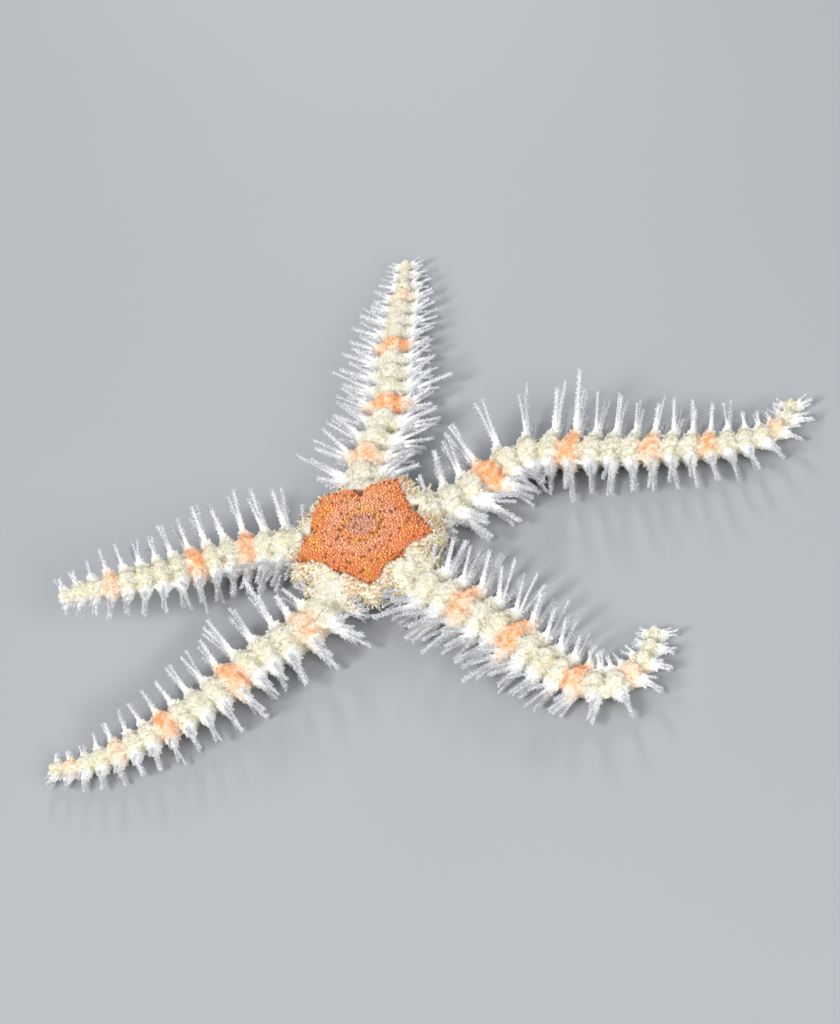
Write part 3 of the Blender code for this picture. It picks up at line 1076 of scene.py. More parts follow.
@dataclass
class Skin:
    """The one skin of the animal, melted from the forms of the disc and the arms."""

    disc: Disc
    bodies: Sequence[ArmBody]
    voxel: float = 0.095
    smoothings: int = 2
    smoothing_factor: float = 0.5
    # The knob under a spine: its radius, its length, how far out its middle lies, and its number of sides.
    knob_radius: float = 0.19
    knob_length: float = 0.50
    knob_lift: float = 0.04
    knob_sides: int = 6
    # The star: its rise, the slope round it, how much calmer its surface is, and the groove round its plate.
    star_rise: float = 0.10
    star_slope: Span = (-0.04, 0.12)
    star_calm: float = 0.6
    ring_radius: float = 1.38
    ring_width: float = 0.16
    ring_depth: float = 0.05
    # The star's edge: the scale and level of the noise that it wavers by, and the heights and the distances
    # outside it over which it ends.
    waver_scale: float = 1.1
    waver_level: float = 5.0
    star_floor: Span = (2.0, 2.25)
    star_edge: Span = (-0.05, 0.0)
    # Where an arm's measures fade: in millimetres from its root, in joints, as shares of the way out to its
    # flank, or as shares of its height.
    arm_begins: Span = (-0.5, 0.1)
    band_joints: Span = (0.2, 0.72)
    band_flank: Span = (0.4, 1.0)
    band_flank_loss: float = 0.65
    band_heights: Span = (0.25, 0.6)
    knob_flank: Span = (0.55, 0.9)
    seam_after: Span = (0.0, 0.16)
    seam_before: Span = (0.90, 1.0)
    seam_flank: Span = (0.45, 0.75)
    line_height: float = 0.6
    line_begins: float = 0.3
    lump_size: float = 0.36
    lump_height: float = 0.07
    grain_size: float = 0.15
    grain_height: float = 0.035
    # The roughening fades towards the floor, over which the skin stays so high.
    floor_fade: Span = (0.0, 0.25)
    lowest: float = 0.004
    cap_tilt: float = -0.6
    cap_floor: float = 0.3
    most_triangles: int = 194000

    def melt(self, roots: Sequence[SpineRoot]) -> Mesh:
        """Melts all forms into one closed mesh.

        Args:
            roots: The spines, each of which gets a knob to stand on.

        Returns:
            The mesh, in millimetres.
        """
        shell = Shell()
        self.disc.add_forms(shell)
        for body in self.bodies:
            body.add_trunk(shell)
            for index in range(-1, body.arm.joints):
                body.add_plates(shell, index)
            body.add_lumps(shell, random.Random(body.arm.place + Seed.ARM_LUMPS))
        for root in roots:
            aside = root.aim.orthogonal().normalized()
            radius = self.knob_radius * root.girth
            shell.ball(
                root.place + root.aim * self.knob_lift, root.aim * self.knob_length * root.girth,
                aside * radius, root.aim.cross(aside) * radius, self.knob_sides,
            )
        item = Scratch.add("skin_forms", shell.mesh("skin_forms"))
        melting = item.modifiers.new("melt", "REMESH")
        melting.mode = "VOXEL"
        melting.voxel_size = self.voxel
        smoothing = item.modifiers.new("smooth", "SMOOTH")
        smoothing.factor = self.smoothing_factor
        smoothing.iterations = self.smoothings
        return Scratch.settle(item)

    def measure(self, mesh: Mesh) -> dict[Mark, np.ndarray]:
        """Measures where each vertex lies on its arm or on the disc.

        Args:
            mesh: The skin, in millimetres.

        Returns:
            A value for each vertex and mark.
        """
        places = Scratch.rows(mesh.vertices, "co").astype(float)
        tree = KDTree(sum(len(body.route.points) for body in self.bodies))
        owners = []
        for number, body in enumerate(self.bodies):
            for index, point in enumerate(body.route.points):
                _, height = body.size(body.arm.length * index / Route.STEPS)
                tree.insert(point + UP * height * 0.5, len(owners))
                owners.append((number, index))
        tree.balance()
        found = np.array([owners[tree.find(place)[1]] for place in places])
        count = len(places)
        marks = {mark: np.zeros(count) for mark in (Mark.BAND, Mark.KNOB, Mark.SEAM)}
        marks[Mark.ACROSS] = np.full(count, FAR)
        marks[Mark.UNWRAP] = np.zeros((count, 3))
        for number, body in enumerate(self.bodies):
            mine = np.nonzero(found[:, 0] == number)[0]
            self.measure_arm(body, places[mine], found[mine, 1], mine, marks)
        offset = places[:, :2] - LEVEL_CENTRE
        waver = [noise.noise(Vector((*spot * self.waver_scale, self.waver_level))) for spot in offset]
        star = self.disc.star_distance(places[:, :2]) + np.array(waver) * self.disc.star_wobble
        on_top = smooth(places[:, 2], *self.star_floor)
        marks[Mark.STAR] = np.where(on_top > 0, np.minimum(star, on_top * FAR - 1.0), -FAR)
        outside = 1 - smooth(marks[Mark.STAR], *self.star_edge)
        fringe = self.disc.fringe(places)
        marks[Mark.FRINGE] = fringe * outside
        marks[Mark.BARE] = (1 - fringe) * outside
        on_disc_part = np.linalg.norm(offset, axis=1) < self.disc.corner_radius
        marks[Mark.UNWRAP][on_disc_part, :2] = self.disc.unwrap(places[on_disc_part][:, :2])
        return marks

    def measure_arm(
        self,
        body: ArmBody,
        places: np.ndarray,
        steps: np.ndarray,
        mine: np.ndarray,
        marks: dict[Mark, np.ndarray],
    ) -> None:
        """Measures the vertices of one arm.

        Args:
            body: The arm.
            places: Its vertices' places.
            steps: The route step nearest to each.
            mine: The vertices' numbers in the whole skin.
            marks: The measures, which this fills in for the arm.
        """
        stations = [body.route.station(body.arm.length * i / Route.STEPS) for i in range(Route.STEPS + 1)]
        offset = places - np.array([station.point for station in stations])[steps]
        ahead, aside, above = (
            (offset * np.array([getattr(station, way) for station in stations])[steps]).sum(1)
            for way in ("forward", "left", "up")
        )
        distance = body.arm.length * steps / Route.STEPS + ahead
        share = np.clip(distance / body.arm.length, 0.0, 1.0)
        grid = np.linspace(0.0, 1.0, len(body.widths))
        half_width = np.interp(share, grid, body.widths) / 2
        height = np.interp(share, grid, body.heights)
        joint = body.joint_place(np.clip(distance, 0.0, body.arm.length))
        flank = np.abs(aside) / half_width
        on_arm = smooth(distance, *self.arm_begins)
        band = np.zeros(len(places))
        for item in body.arm.bands:
            reach = np.abs(joint - item.joint - 0.5)
            band = np.maximum(band, item.depth * (1 - smooth(reach, *self.band_joints)))
        paler = 1 - self.band_flank_loss * smooth(flank, *self.band_flank)
        marks[Mark.BAND][mine] = band * paler * on_arm * smooth(above / height, *self.band_heights)
        marks[Mark.KNOB][mine] = smooth(flank, *self.knob_flank)
        # Where the seams between the joints lie, in which the skin's finish paints shade.
        phase = joint - np.floor(joint)
        seam = np.maximum(1 - smooth(phase, *self.seam_after), smooth(phase, *self.seam_before))
        marks[Mark.SEAM][mine] = seam * on_arm * (1 - smooth(flank, *self.seam_flank))
        top = (above > self.line_height * height) & (distance > self.line_begins)
        marks[Mark.ACROSS][mine] = np.where(top, flank, FAR)
        turn = 0.5 + Unwrap.SKIN_TURN * np.clip(aside / half_width, -1.0, 1.0)
        marks[Mark.UNWRAP][mine, :2] = np.column_stack(Unwrap.on_arm(body.arm.place, share, turn))

    def shape(self, mesh: Mesh, marks: dict[Mark, np.ndarray]) -> None:
        """Raises the star and roughens the skin with lumps and grain, along its normals.

        Args:
            mesh: The skin, in millimetres.
            marks: Its measures.
        """
        places = Scratch.rows(mesh.vertices, "co").astype(float)
        normals = Scratch.rows(mesh.vertices, "normal").astype(float)
        lumps, grain = (
            np.array([noise.noise(Vector(place / size)) for place in places])
            for size in (self.lump_size, self.grain_size)
        )
        inside = smooth(marks[Mark.STAR], *self.star_slope)
        radius = np.linalg.norm(places[:, :2] - LEVEL_CENTRE, axis=1)
        ring = np.exp(-(((radius - self.ring_radius) / self.ring_width) ** 2)) * inside
        rise = inside * self.star_rise - ring * self.ring_depth
        outside = 1 - self.star_calm * inside
        rise += lumps * self.lump_height * outside + grain * self.grain_height * outside
        places += normals * (rise * smooth(places[:, 2], *self.floor_fade))[:, None]
        places[:, 2] = np.maximum(places[:, 2], self.lowest)
        mesh.vertices.foreach_set("co", places.astype(np.float32).ravel())
        mesh.update()

    def build(self, roots: Sequence[SpineRoot]) -> Mesh:
        """Makes the skin's mesh with its marks.

        Args:
            roots: Where the spines stand.

        Returns:
            The mesh, in millimetres.
        """
        mesh = self.melt(roots)
        marks = self.measure(mesh)
        self.shape(mesh, marks)
        for mark, values in marks.items():
            Scratch.store(mesh, mark, values)
        mesh.shade_smooth()
        return mesh

    def cap(self, mesh: Mesh) -> Mesh:
        """Copies the faces of the skin's upper side, for granules, stumps and crystals to be strewn on.

        Args:
            mesh: The finished skin, in millimetres.

        Returns:
            The cap, with the skin's marks.
        """
        made = mesh.copy()
        made.name = "cap"
        shape = bmesh.new()
        shape.from_mesh(made)
        under = [
            face for face in shape.faces
            if face.normal.z < self.cap_tilt or face.verts[0].co.z < self.cap_floor
        ]
        bmesh.ops.delete(shape, geom=under, context="FACES")
        shape.to_mesh(made)
        shape.free()
        return made

    def thin(self, mesh: Mesh) -> Mesh:
        """Thins the finished skin, with its marks, to the number of triangles that one piece may have.

        Args:
            mesh: The finished skin.

        Returns:
            The thinner mesh.
        """
        item = Scratch.add("skin_full", mesh)
        thinning = item.modifiers.new("thin", "DECIMATE")
        thinning.ratio = min(self.most_triangles / count_triangles(mesh), 1.0)
        return Scratch.settle(item)


class Graph:
    """A node tree in the making: it adds nodes, sets their inputs and joins them."""

    def __init__(self, tree: NodeTree) -> None:
        """Works on a tree.

        Args:
            tree: The tree, which is emptied first.
        """
        self.tree = tree
        tree.nodes.clear()

    def add(self, kind: str, settings: dict[str, object], inputs: dict[str | int, object]) -> Node:
        """Adds a node.

        Args:
            kind: The node's type.
            settings: Its properties.
            inputs: Its inputs by name or number, each a value or the socket that feeds it.

        Returns:
            The node.
        """
        node = self.tree.nodes.new(kind)
        for name, value in settings.items():
            setattr(node, name, value)
        for name, value in inputs.items():
            self.put(self.open_input(node, name), value)
        return node

    @staticmethod
    def open_input(node: Node, name: str | int) -> NodeSocket:
        """Finds an input by number, or by name among those that are in use."""
        if isinstance(name, int):
            return node.inputs[name]
        return next(socket for socket in node.inputs if socket.enabled and socket.name == name)

    @staticmethod
    def open_output(node: Node) -> NodeSocket:
        """Finds a node's first output that is in use."""
        return next(socket for socket in node.outputs if socket.enabled)

    def put(self, socket: NodeSocket, value: object) -> None:
        """Sets an input to a value, or joins it to another socket."""
        if isinstance(value, NodeSocket):
            self.tree.links.new(value, socket)
        else:
            socket.default_value = value

    def math(self, operation: str, first: object, second: object = 0.0) -> NodeSocket:
        """Works out a value from two others."""
        return self.add("ShaderNodeMath", {"operation": operation}, {0: first, 1: second}).outputs[0]

    def times(self, first: object, second: object) -> NodeSocket:
        """Multiplies two values."""
        return self.math("MULTIPLY", first, second)


class GeometryGraph(Graph):
    """A Geometry Nodes tree with named inputs."""

    def __init__(self, name: str) -> None:
        """Starts a tree that takes and gives geometry.

        Args:
            name: The tree's name.
        """
        super().__init__(bpy.data.node_groups.new(name, "GeometryNodeTree"))
        self.tree.interface.new_socket("Geometry", in_out="INPUT", socket_type="NodeSocketGeometry")
        self.tree.interface.new_socket("Geometry", in_out="OUTPUT", socket_type="NodeSocketGeometry")
        self.start = self.tree.nodes.new("NodeGroupInput")
        self.end = self.tree.nodes.new("NodeGroupOutput")
        self.values: dict[str, object] = {}

    def size(self, name: str, kind: str, value: object) -> NodeSocket:
        """Adds a named input.

        Args:
            name: The input's name.
            kind: Its socket type.
            value: What the modifier sets it to.

        Returns:
            The socket that carries it inside the tree.
        """
        socket = self.tree.interface.new_socket(name, in_out="INPUT", socket_type=kind)
        self.values[socket.identifier] = value
        return self.start.outputs[name]

    def named(self, mark: Mark, kind: str = "FLOAT") -> NodeSocket:
        """Reads a mark from the geometry."""
        node = self.add("GeometryNodeInputNamedAttribute", {"data_type": kind}, {"Name": mark.value})
        return self.open_output(node)

    def draw(self, low: object, high: object, seed: int, kind: str = "FLOAT") -> NodeSocket:
        """Draws a seeded value for each point."""
        inputs = {"Min": low, "Max": high, "Seed": seed}
        return self.open_output(self.add("FunctionNodeRandomValue", {"data_type": kind}, inputs))

    def turned(self, rotation: NodeSocket, more: NodeSocket) -> NodeSocket:
        """Turns a rotation further about its own axes."""
        inputs = {"Rotation": rotation, "Rotate By": more}
        return self.add("FunctionNodeRotateRotation", {"rotation_space": "LOCAL"}, inputs).outputs[0]

    def store(self, geometry: NodeSocket, mark: Mark, value: object) -> NodeSocket:
        """Writes a mark onto points."""
        node = self.add(
            "GeometryNodeStoreNamedAttribute",
            {"data_type": "FLOAT", "domain": "POINT"},
            {"Geometry": geometry, "Name": mark.value, "Value": value},
        )
        return node.outputs["Geometry"]

    def instances(
        self,
        points: object,
        patterns: NodeSocket,
        pick: object,
        rotation: object,
        scale: object,
        material: NodeSocket,
    ) -> None:
        """Sets patterns on points and ends the tree with the result as real mesh.

        Args:
            points: The points.
            patterns: The collection to pick from.
            pick: Which pattern each point takes.
            rotation: How each is turned.
            scale: How large each is.
            material: The finish of all of them.
        """
        source = self.add(
            "GeometryNodeCollectionInfo",
            {"transform_space": "ORIGINAL"},
            {"Collection": patterns, "Separate Children": True, "Reset Children": True},
        )
        placed = self.add(
            "GeometryNodeInstanceOnPoints",
            {},
            {
                "Points": points,
                "Instance": source.outputs[0],
                "Pick Instance": True,
                "Instance Index": pick,
                "Rotation": rotation,
                "Scale": scale,
            },
        )
        real = self.add("GeometryNodeRealizeInstances", {}, {"Geometry": placed.outputs[0]})
        inputs = {"Geometry": real.outputs[0], "Material": material}
        dressed = self.add("GeometryNodeSetMaterial", {}, inputs)
        self.put(self.end.inputs[0], dressed.outputs[0])

    def run(self, mesh: Mesh) -> Mesh:
        """Runs the tree on a mesh.

        Args:
            mesh: What it starts from.

        Returns:
            The plain mesh that comes out.
        """
        item = Scratch.add(self.tree.name, mesh)
        modifier = item.modifiers.new(self.tree.name, "NODES")
        modifier.node_group = self.tree
        for identifier, value in self.values.items():
            modifier[identifier] = value
        return Scratch.settle(item)


class Patterns:
    """A collection of small meshes for Geometry Nodes to pick from, in the order of their names."""

    def __init__(self, name: str, meshes: Sequence[Mesh]) -> None:
        """Links the meshes into the scene.

        Args:
            name: The collection's name.
            meshes: The meshes, in the order in which they are picked.
        """
        self.collection = bpy.data.collections.new(name)
        bpy.context.scene.collection.children.link(self.collection)
        for index, mesh in enumerate(meshes):
            item = bpy.data.objects.new(f"{name}_{index:02d}", mesh)
            self.collection.objects.link(item)

    def clear(self) -> None:
        """Removes the collection with its objects."""
        for item in list(self.collection.objects):
            bpy.data.objects.remove(item)
        bpy.data.collections.remove(self.collection)


class PatternMesh(Forms):
    """A small closed mesh that is repeated, with the way to its tip and its place in a patch."""

    THORN_FACES = ((2, 1, 0), (0, 1, 3), (1, 2, 3), (2, 0, 3))

    def stem(self, rings: Sequence[Span], sides: int, flatness: float, top: float) -> None:
        """Adds a closed, round stem.

        Args:
            rings: The height and radius of each ring, from below.
            sides: How many points go round.
            flatness: The share of the radius across the flat way.
            top: The height of the point that closes it.
        """
        points = [
            (math.cos(turn) * radius, math.sin(turn) * radius * flatness, height)
            for height, radius in rings
            for turn in turns(sides)
        ]
        last = self.tube(points, sides)
        for i in range(sides):
            self.faces.append((last[i], last[(i + 1) % sides], len(self.vertices)))
        self.vertices.append((0.0, 0.0, top))

    def thorn(self, base: Vector, aim: Vector, width: float) -> None:
        """Adds a closed three-sided thorn.

        Args:
            base: The middle of its base.
            aim: Its direction and length.
            width: The radius of its base.
        """
        first = len(self.vertices)
        aside = aim.orthogonal().normalized() * width
        other = aim.normalized().cross(aside)
        for turn in turns(3):
            self.vertices.append(tuple(base + aside * math.cos(turn) + other * math.sin(turn)))
        self.vertices.append(tuple(base + aim))
        for a, b, c in self.THORN_FACES:
            self.faces.append((first + a, first + b, first + c))

    def marked_mesh(self, name: str, height: float, width: float) -> Mesh:
        """Makes the mesh with its marks.

        Args:
            name: Its name.
            height: Its whole height.
            width: Its whole width.

        Returns:
            The mesh.
        """
        made = self.mesh(name)
        made.polygons.foreach_set("use_smooth", [len(face) > 3 for face in self.faces])
        places = np.array(self.vertices)
        Scratch.store(made, Mark.ALONG, np.clip(places[:, 2] / height, 0.0, 1.0))
        patch = np.zeros((len(places), 3))
        patch[:, 0] = np.clip(places[:, 0] / width, -0.5, 0.5)
        patch[:, 1] = np.clip(places[:, 2] / height, 0.0, 1.0) - 0.5
        Scratch.store(made, Mark.PATCH, patch)
        return made


def finish_piece(name: str, mesh: Mesh) -> Object:
    """Brings a mesh from millimetres to metres and puts it into the scene."""
    mesh.name = name
    mesh.transform(Matrix.Scale(MM, 4))
    return Scratch.add(name, mesh)


def finish_coat(name: str, mesh: Mesh) -> Object:
    """Gives a coat piece its bake map and brings it to metres.

    Args:
        name: The piece's name.
        mesh: Its mesh, in millimetres, with its marks.

    Returns:
        The piece.
    """
    strips, patches = (
        Scratch.rows(mesh.attributes[mark.value].data, "vector")[:, :2] for mark in (Mark.UNWRAP, Mark.PATCH)
    )
    corners = np.zeros(len(mesh.loops), np.int32)
    mesh.loops.foreach_get("vertex_index", corners)
    spots = (strips + patches * Unwrap.PATCH_SIZE)[corners]
    mesh.uv_layers.new(name="OFBake").uv.foreach_set("vector", spots.ravel())
    return finish_piece(name, mesh)


@dataclass
class Spines:
    """The thorny spines of one arm, set on its plates by Geometry Nodes."""

    radius: float = 0.19
    flatness: float = 0.62
    sides: int = 6
    variants: int = 3
    edge_step: float = 0.27
    edge_thorn: float = 0.21
    face_step: float = 0.5
    face_thorn: float = 0.12
    thorn_width: float = 0.08
    rise: Span = (0.55, 1.1)
    # The thorns of a row: how far they keep from the spine's root and tip, how far they turn aside, how deep
    # they are set, and how their lengths and steps vary.
    row_root: float = 0.32
    row_tip: float = 0.08
    row_turn: float = 0.35
    row_depth: float = 0.7
    size_draw: Span = (0.7, 1.25)
    step_draw: Span = (0.75, 1.25)
    # The thorns round the tip: how many, how far they turn aside and lean out, how their lengths vary, and
    # where they stand as shares of the radius and of the length.
    tip_thorns: int = 5
    tip_turn: float = 0.4
    tip_lean: float = 0.45
    tip_draw: Span = (0.6, 1.1)
    tip_place: Span = (0.42, 0.96)
    patch_width: float = 4.0
    # Share of the spine's length and of its radius at each ring.
    outline: tuple[Span, ...] = (
        (0.0, 1.0), (0.07, 1.15), (0.2, 0.98), (0.45, 0.9), (0.72, 0.82), (0.93, 0.78), (0.99, 0.55),
    )

    def pattern(self, kind: SpineKind, seed: int) -> Mesh:
        """Makes one thorny spine that stands along +Z.

        Args:
            kind: Its length.
            seed: The seed of its thorns.

        Returns:
            The mesh, in millimetres.
        """
        chance = random.Random(seed)
        length = kind.value
        made = PatternMesh()
        rings = [(share * length, self.radius * size) for share, size in self.outline]
        made.stem(rings, self.sides, self.flatness, length)
        for side in (0.0, math.pi):
            self.thorn_row(made, chance, length, side, self.edge_step, self.edge_thorn)
            self.thorn_row(made, chance, length, side + math.pi / 2, self.face_step, self.face_thorn)
        across, up = self.tip_place
        for turn in turns(self.tip_thorns):
            out = self.outwards(turn + chance.uniform(-self.tip_turn, self.tip_turn))
            lean = (out * self.tip_lean + UP).normalized()
            base = out * self.radius * across + UP * length * up
            made.thorn(base, lean * self.edge_thorn * chance.uniform(*self.tip_draw), self.thorn_width)
        return made.marked_mesh("spine_pattern", length + self.edge_thorn, self.radius * self.patch_width)

    def outwards(self, turn: float) -> Vector:
        """Gives the way from the middle of a spine to its surface, less far on the flat sides."""
        return Vector((math.cos(turn), math.sin(turn) * self.flatness, 0.0))

    def thorn_row(
        self, made: PatternMesh, chance: random.Random, length: float, side: float, step: float, size: float
    ) -> None:
        """Adds one row of thorns up a spine.

        Args:
            made: The spine.
            chance: The source of their differences.
            length: The spine's length.
            side: The angle round the spine at which the row stands.
            step: The mean distance between its thorns.
            size: Their mean length.
        """
        height = self.row_root + chance.uniform(0, step)
        shares, sizes = zip(*self.outline)
        while height < length - self.row_tip:
            out = self.outwards(side + chance.uniform(-self.row_turn, self.row_turn))
            radius = self.radius * float(np.interp(height / length, shares, sizes))
            aim = (out.normalized() + UP * chance.uniform(*self.rise)).normalized()
            base = out * radius * self.row_depth + UP * height
            made.thorn(base, aim * size * chance.uniform(*self.size_draw), self.thorn_width)
            height += step * chance.uniform(*self.step_draw)

    def patterns(self) -> Patterns:
        """Makes every variant of every kind."""
        meshes = []
        for number, kind in enumerate(SpineKind):
            for variant in range(self.variants):
                meshes.append(self.pattern(kind, Seed.SPINE_KIND * number + variant))
        return Patterns("spine_patterns", meshes)

    def roots_mesh(self, roots: Sequence[SpineRoot], chance: random.Random) -> Mesh:
        """Makes a mesh of single points that carry each spine's direction, size and pattern.

        Args:
            roots: The spines.
            chance: The source of their turns and patterns.

        Returns:
            The mesh of points.
        """
        made = bpy.data.meshes.new("spine_roots")
        made.from_pydata([root.place for root in roots], [], [])
        kinds = list(SpineKind)
        sizes, picks, spins = [], [], []
        for root in roots:
            number = min(range(len(kinds)), key=lambda k: abs(math.log(kinds[k].value / root.length)))
            sizes.append((root.girth, root.girth, root.length / kinds[number].value))
            picks.append(number * self.variants + chance.randrange(self.variants))
            spins.append(chance.uniform(0, math.tau))
        measures = {
            Mark.AIM: [root.aim for root in roots],
            Mark.SIZE: sizes,
            Mark.TURN: spins,
            Mark.PICK: picks,
            Mark.BAND: [root.band for root in roots],
            Mark.TONE: [chance.random() for _ in roots],
            Mark.UNWRAP: [(*root.unwrap, 0.0) for root in roots],
        }
        for mark, values in measures.items():
            Scratch.store(made, mark, np.array(values))
        return made

    def build(
        self,
        name: str,
        roots: Sequence[SpineRoot],
        patterns: Patterns,
        material: bpy.types.Material,
        seed: int,
    ) -> Object:
        """Makes one arm's spines.

        Args:
            name: The piece's name.
            roots: Where they stand.
            patterns: What they are picked from.
            material: Their finish.
            seed: The seed of their turns and patterns.

        Returns:
            The piece.
        """
        graph = GeometryGraph(name + "_nodes")
        girth = graph.size("Girth", "NodeSocketFloat", 1.0)
        source = graph.size("Patterns", "NodeSocketCollection", patterns.collection)
        finish = graph.size("Finish", "NodeSocketMaterial", material)
        aim = graph.named(Mark.AIM, "FLOAT_VECTOR")
        size = graph.named(Mark.SIZE, "FLOAT_VECTOR")
        turn = graph.named(Mark.TURN)
        pick = graph.named(Mark.PICK, "INT")
        aligned = graph.add("FunctionNodeAlignRotationToVector", {"axis": "Z"}, {"Vector": aim})
        spin = graph.add("FunctionNodeAxisAngleToRotation", {}, {"Axis": (0.0, 0.0, 1.0), "Angle": turn})
        turned = graph.turned(aligned.outputs[0], spin.outputs[0])
        widened = graph.add("ShaderNodeCombineXYZ", {}, {"X": girth, "Y": girth, "Z": 1.0})
        inputs = {0: size, 1: widened.outputs[0]}
        scaled = graph.add("ShaderNodeVectorMath", {"operation": "MULTIPLY"}, inputs)
        graph.instances(graph.start.outputs[0], source, pick, turned, scaled.outputs[0], finish)
        mesh = graph.run(self.roots_mesh(roots, random.Random(seed)))
        return finish_coat(name, mesh)


@dataclass(frozen=True)
class SmallForm:
    """A small form in a few variants: a stem on a sunken foot, with thorns."""

    # Radius, height and number of thorns of each variant.
    variants: tuple[tuple[float, float, int], ...]
    # Share of the height and of the radius at each ring above the foot.
    rings: tuple[Span, ...]
    foot: float
    sides: int
    flatness: float
    patch_width: float
    # The thorns: their places as shares of the radius and of the height, and how steep, long and wide they are.
    seed: int = 0
    thorn_out: float = 0.0
    thorn_up: Span = (0.0, 0.0)
    thorn_rise: Span = (0.0, 0.0)
    thorn_length: Span = (0.0, 0.0)
    thorn_width: float = 0.0

    def meshes(self, name: str) -> list[Mesh]:
        """Makes a mesh of each variant.

        Args:
            name: What the meshes are called.

        Returns:
            The meshes, in millimetres.
        """
        made = []
        for index, (radius, height, thorns) in enumerate(self.variants):
            chance = random.Random(self.seed + index)
            form = PatternMesh()
            rings = [(height * up, radius * across) for up, across in self.rings]
            form.stem([(-self.foot, radius), *rings], self.sides, self.flatness, height)
            for _ in range(thorns):
                turn = chance.uniform(0, math.tau)
                out = Vector((math.cos(turn), math.sin(turn), 0.0))
                base = out * radius * self.thorn_out + UP * height * drawn(chance, self.thorn_up)
                aim = (out + UP * drawn(chance, self.thorn_rise)).normalized()
                form.thorn(base, aim * chance.uniform(*self.thorn_length), self.thorn_width)
            made.append(form.marked_mesh(f"{name}_{index}", height, radius * self.patch_width))
        return made


@dataclass(frozen=True)
class Strewing:
    """How a small form is strewn: on which mark, how closely, how large, and how far it leans."""

    name: str
    mark: Mark
    threshold: float
    spacing: float
    sizes: Span
    lean: float
    seed: int
    form: SmallForm


@dataclass
class Granules:
    """The star's granules, the stumps of the disc's edge and the skin's crystals, strewn by node trees."""

    CROWD = 2.0

    star: Strewing = Strewing(
        "star_granules", Mark.STAR, 0.02, 0.15, (0.72, 1.1), 0.3, 11,
        SmallForm(
            ((0.085, 0.12, 0), (0.10, 0.11, 0), (0.075, 0.16, 0), (0.095, 0.14, 0)),
            ((0.35, 0.94), (0.75, 0.58)), 0.06, 6, 0.9, 2.0,
        ),
    )
    fringe: Strewing = Strewing(
        "fringe_stumps", Mark.FRINGE, 0.35, 0.17, (0.7, 1.25), 0.5, 12,
        SmallForm(
            ((0.075, 0.24, 5), (0.065, 0.30, 5), (0.085, 0.18, 5), (0.06, 0.36, 5)),
            ((0.5, 0.9), (0.9, 0.65)), 0.08, 5, 0.85, 3.0,
            40, 0.6, (0.5, 0.95), (1.2, 1.2), (0.07, 0.12), 0.035,
        ),
    )
    body: Strewing = Strewing(
        "skin_crystals", Mark.BARE, 0.5, 0.24, (0.45, 1.0), 0.45, 13,
        SmallForm(
            ((0.07, 0.10, 1), (0.08, 0.14, 2), (0.06, 0.17, 1), (0.075, 0.12, 3), (0.10, 0.08, 2)),
            ((0.45, 0.75),), 0.06, 5, 0.8, 3.0,
            70, 0.5, (0.2, 0.2), (0.6, 1.6), (0.10, 0.17), 0.045,
        ),
    )

    def strew(self, how: Strewing, cap: Mesh, material: bpy.types.Material) -> Object:
        """Strews a small form over the part of the cap that its mark gives.

        Args:
            how: What is strewn, where and how closely.
            cap: The skin's upper side.
            material: Its finish.

        Returns:
            The piece.
        """
        meshes = how.form.meshes(how.name)
        patterns = Patterns(how.name + "_patterns", meshes)
        graph = GeometryGraph(how.name + "_nodes")
        gap = graph.size("Spacing", "NodeSocketFloat", how.spacing)
        edge = graph.size("Threshold", "NodeSocketFloat", how.threshold)
        smallest = graph.size("Smallest", "NodeSocketFloat", how.sizes[0])
        largest = graph.size("Largest", "NodeSocketFloat", how.sizes[1])
        seed = graph.size("Seed", "NodeSocketInt", how.seed)
        source = graph.size("Patterns", "NodeSocketCollection", patterns.collection)
        finish = graph.size("Finish", "NodeSocketMaterial", material)
        chosen = graph.math("GREATER_THAN", graph.named(how.mark), edge)
        scattered = graph.add(
            "GeometryNodeDistributePointsOnFaces",
            {"distribute_method": "POISSON"},
            {
                "Mesh": graph.start.outputs[0],
                "Selection": chosen,
                "Distance Min": gap,
                "Density Max": self.CROWD / (how.spacing * how.spacing),
                "Seed": seed,
            },
        )
        toned = graph.store(scattered.outputs["Points"], Mark.TONE, graph.draw(0.0, 1.0, Seed.NODE_TONE))
        low, high = (-how.lean, -how.lean, 0.0), (how.lean, how.lean, math.tau)
        lean = graph.draw(low, high, Seed.NODE_LEAN, "FLOAT_VECTOR")
        leaning = graph.add("FunctionNodeEulerToRotation", {}, {0: lean})
        turned = graph.turned(scattered.outputs["Rotation"], leaning.outputs[0])
        size = graph.draw(smallest, largest, Seed.NODE_SIZE)
        pick = graph.draw(0, len(meshes) - 1, Seed.NODE_PICK, "INT")
        graph.instances(toned, source, pick, turned, size, finish)
        mesh = graph.run(cap.copy())
        patterns.clear()
        return finish_coat(how.name, mesh)


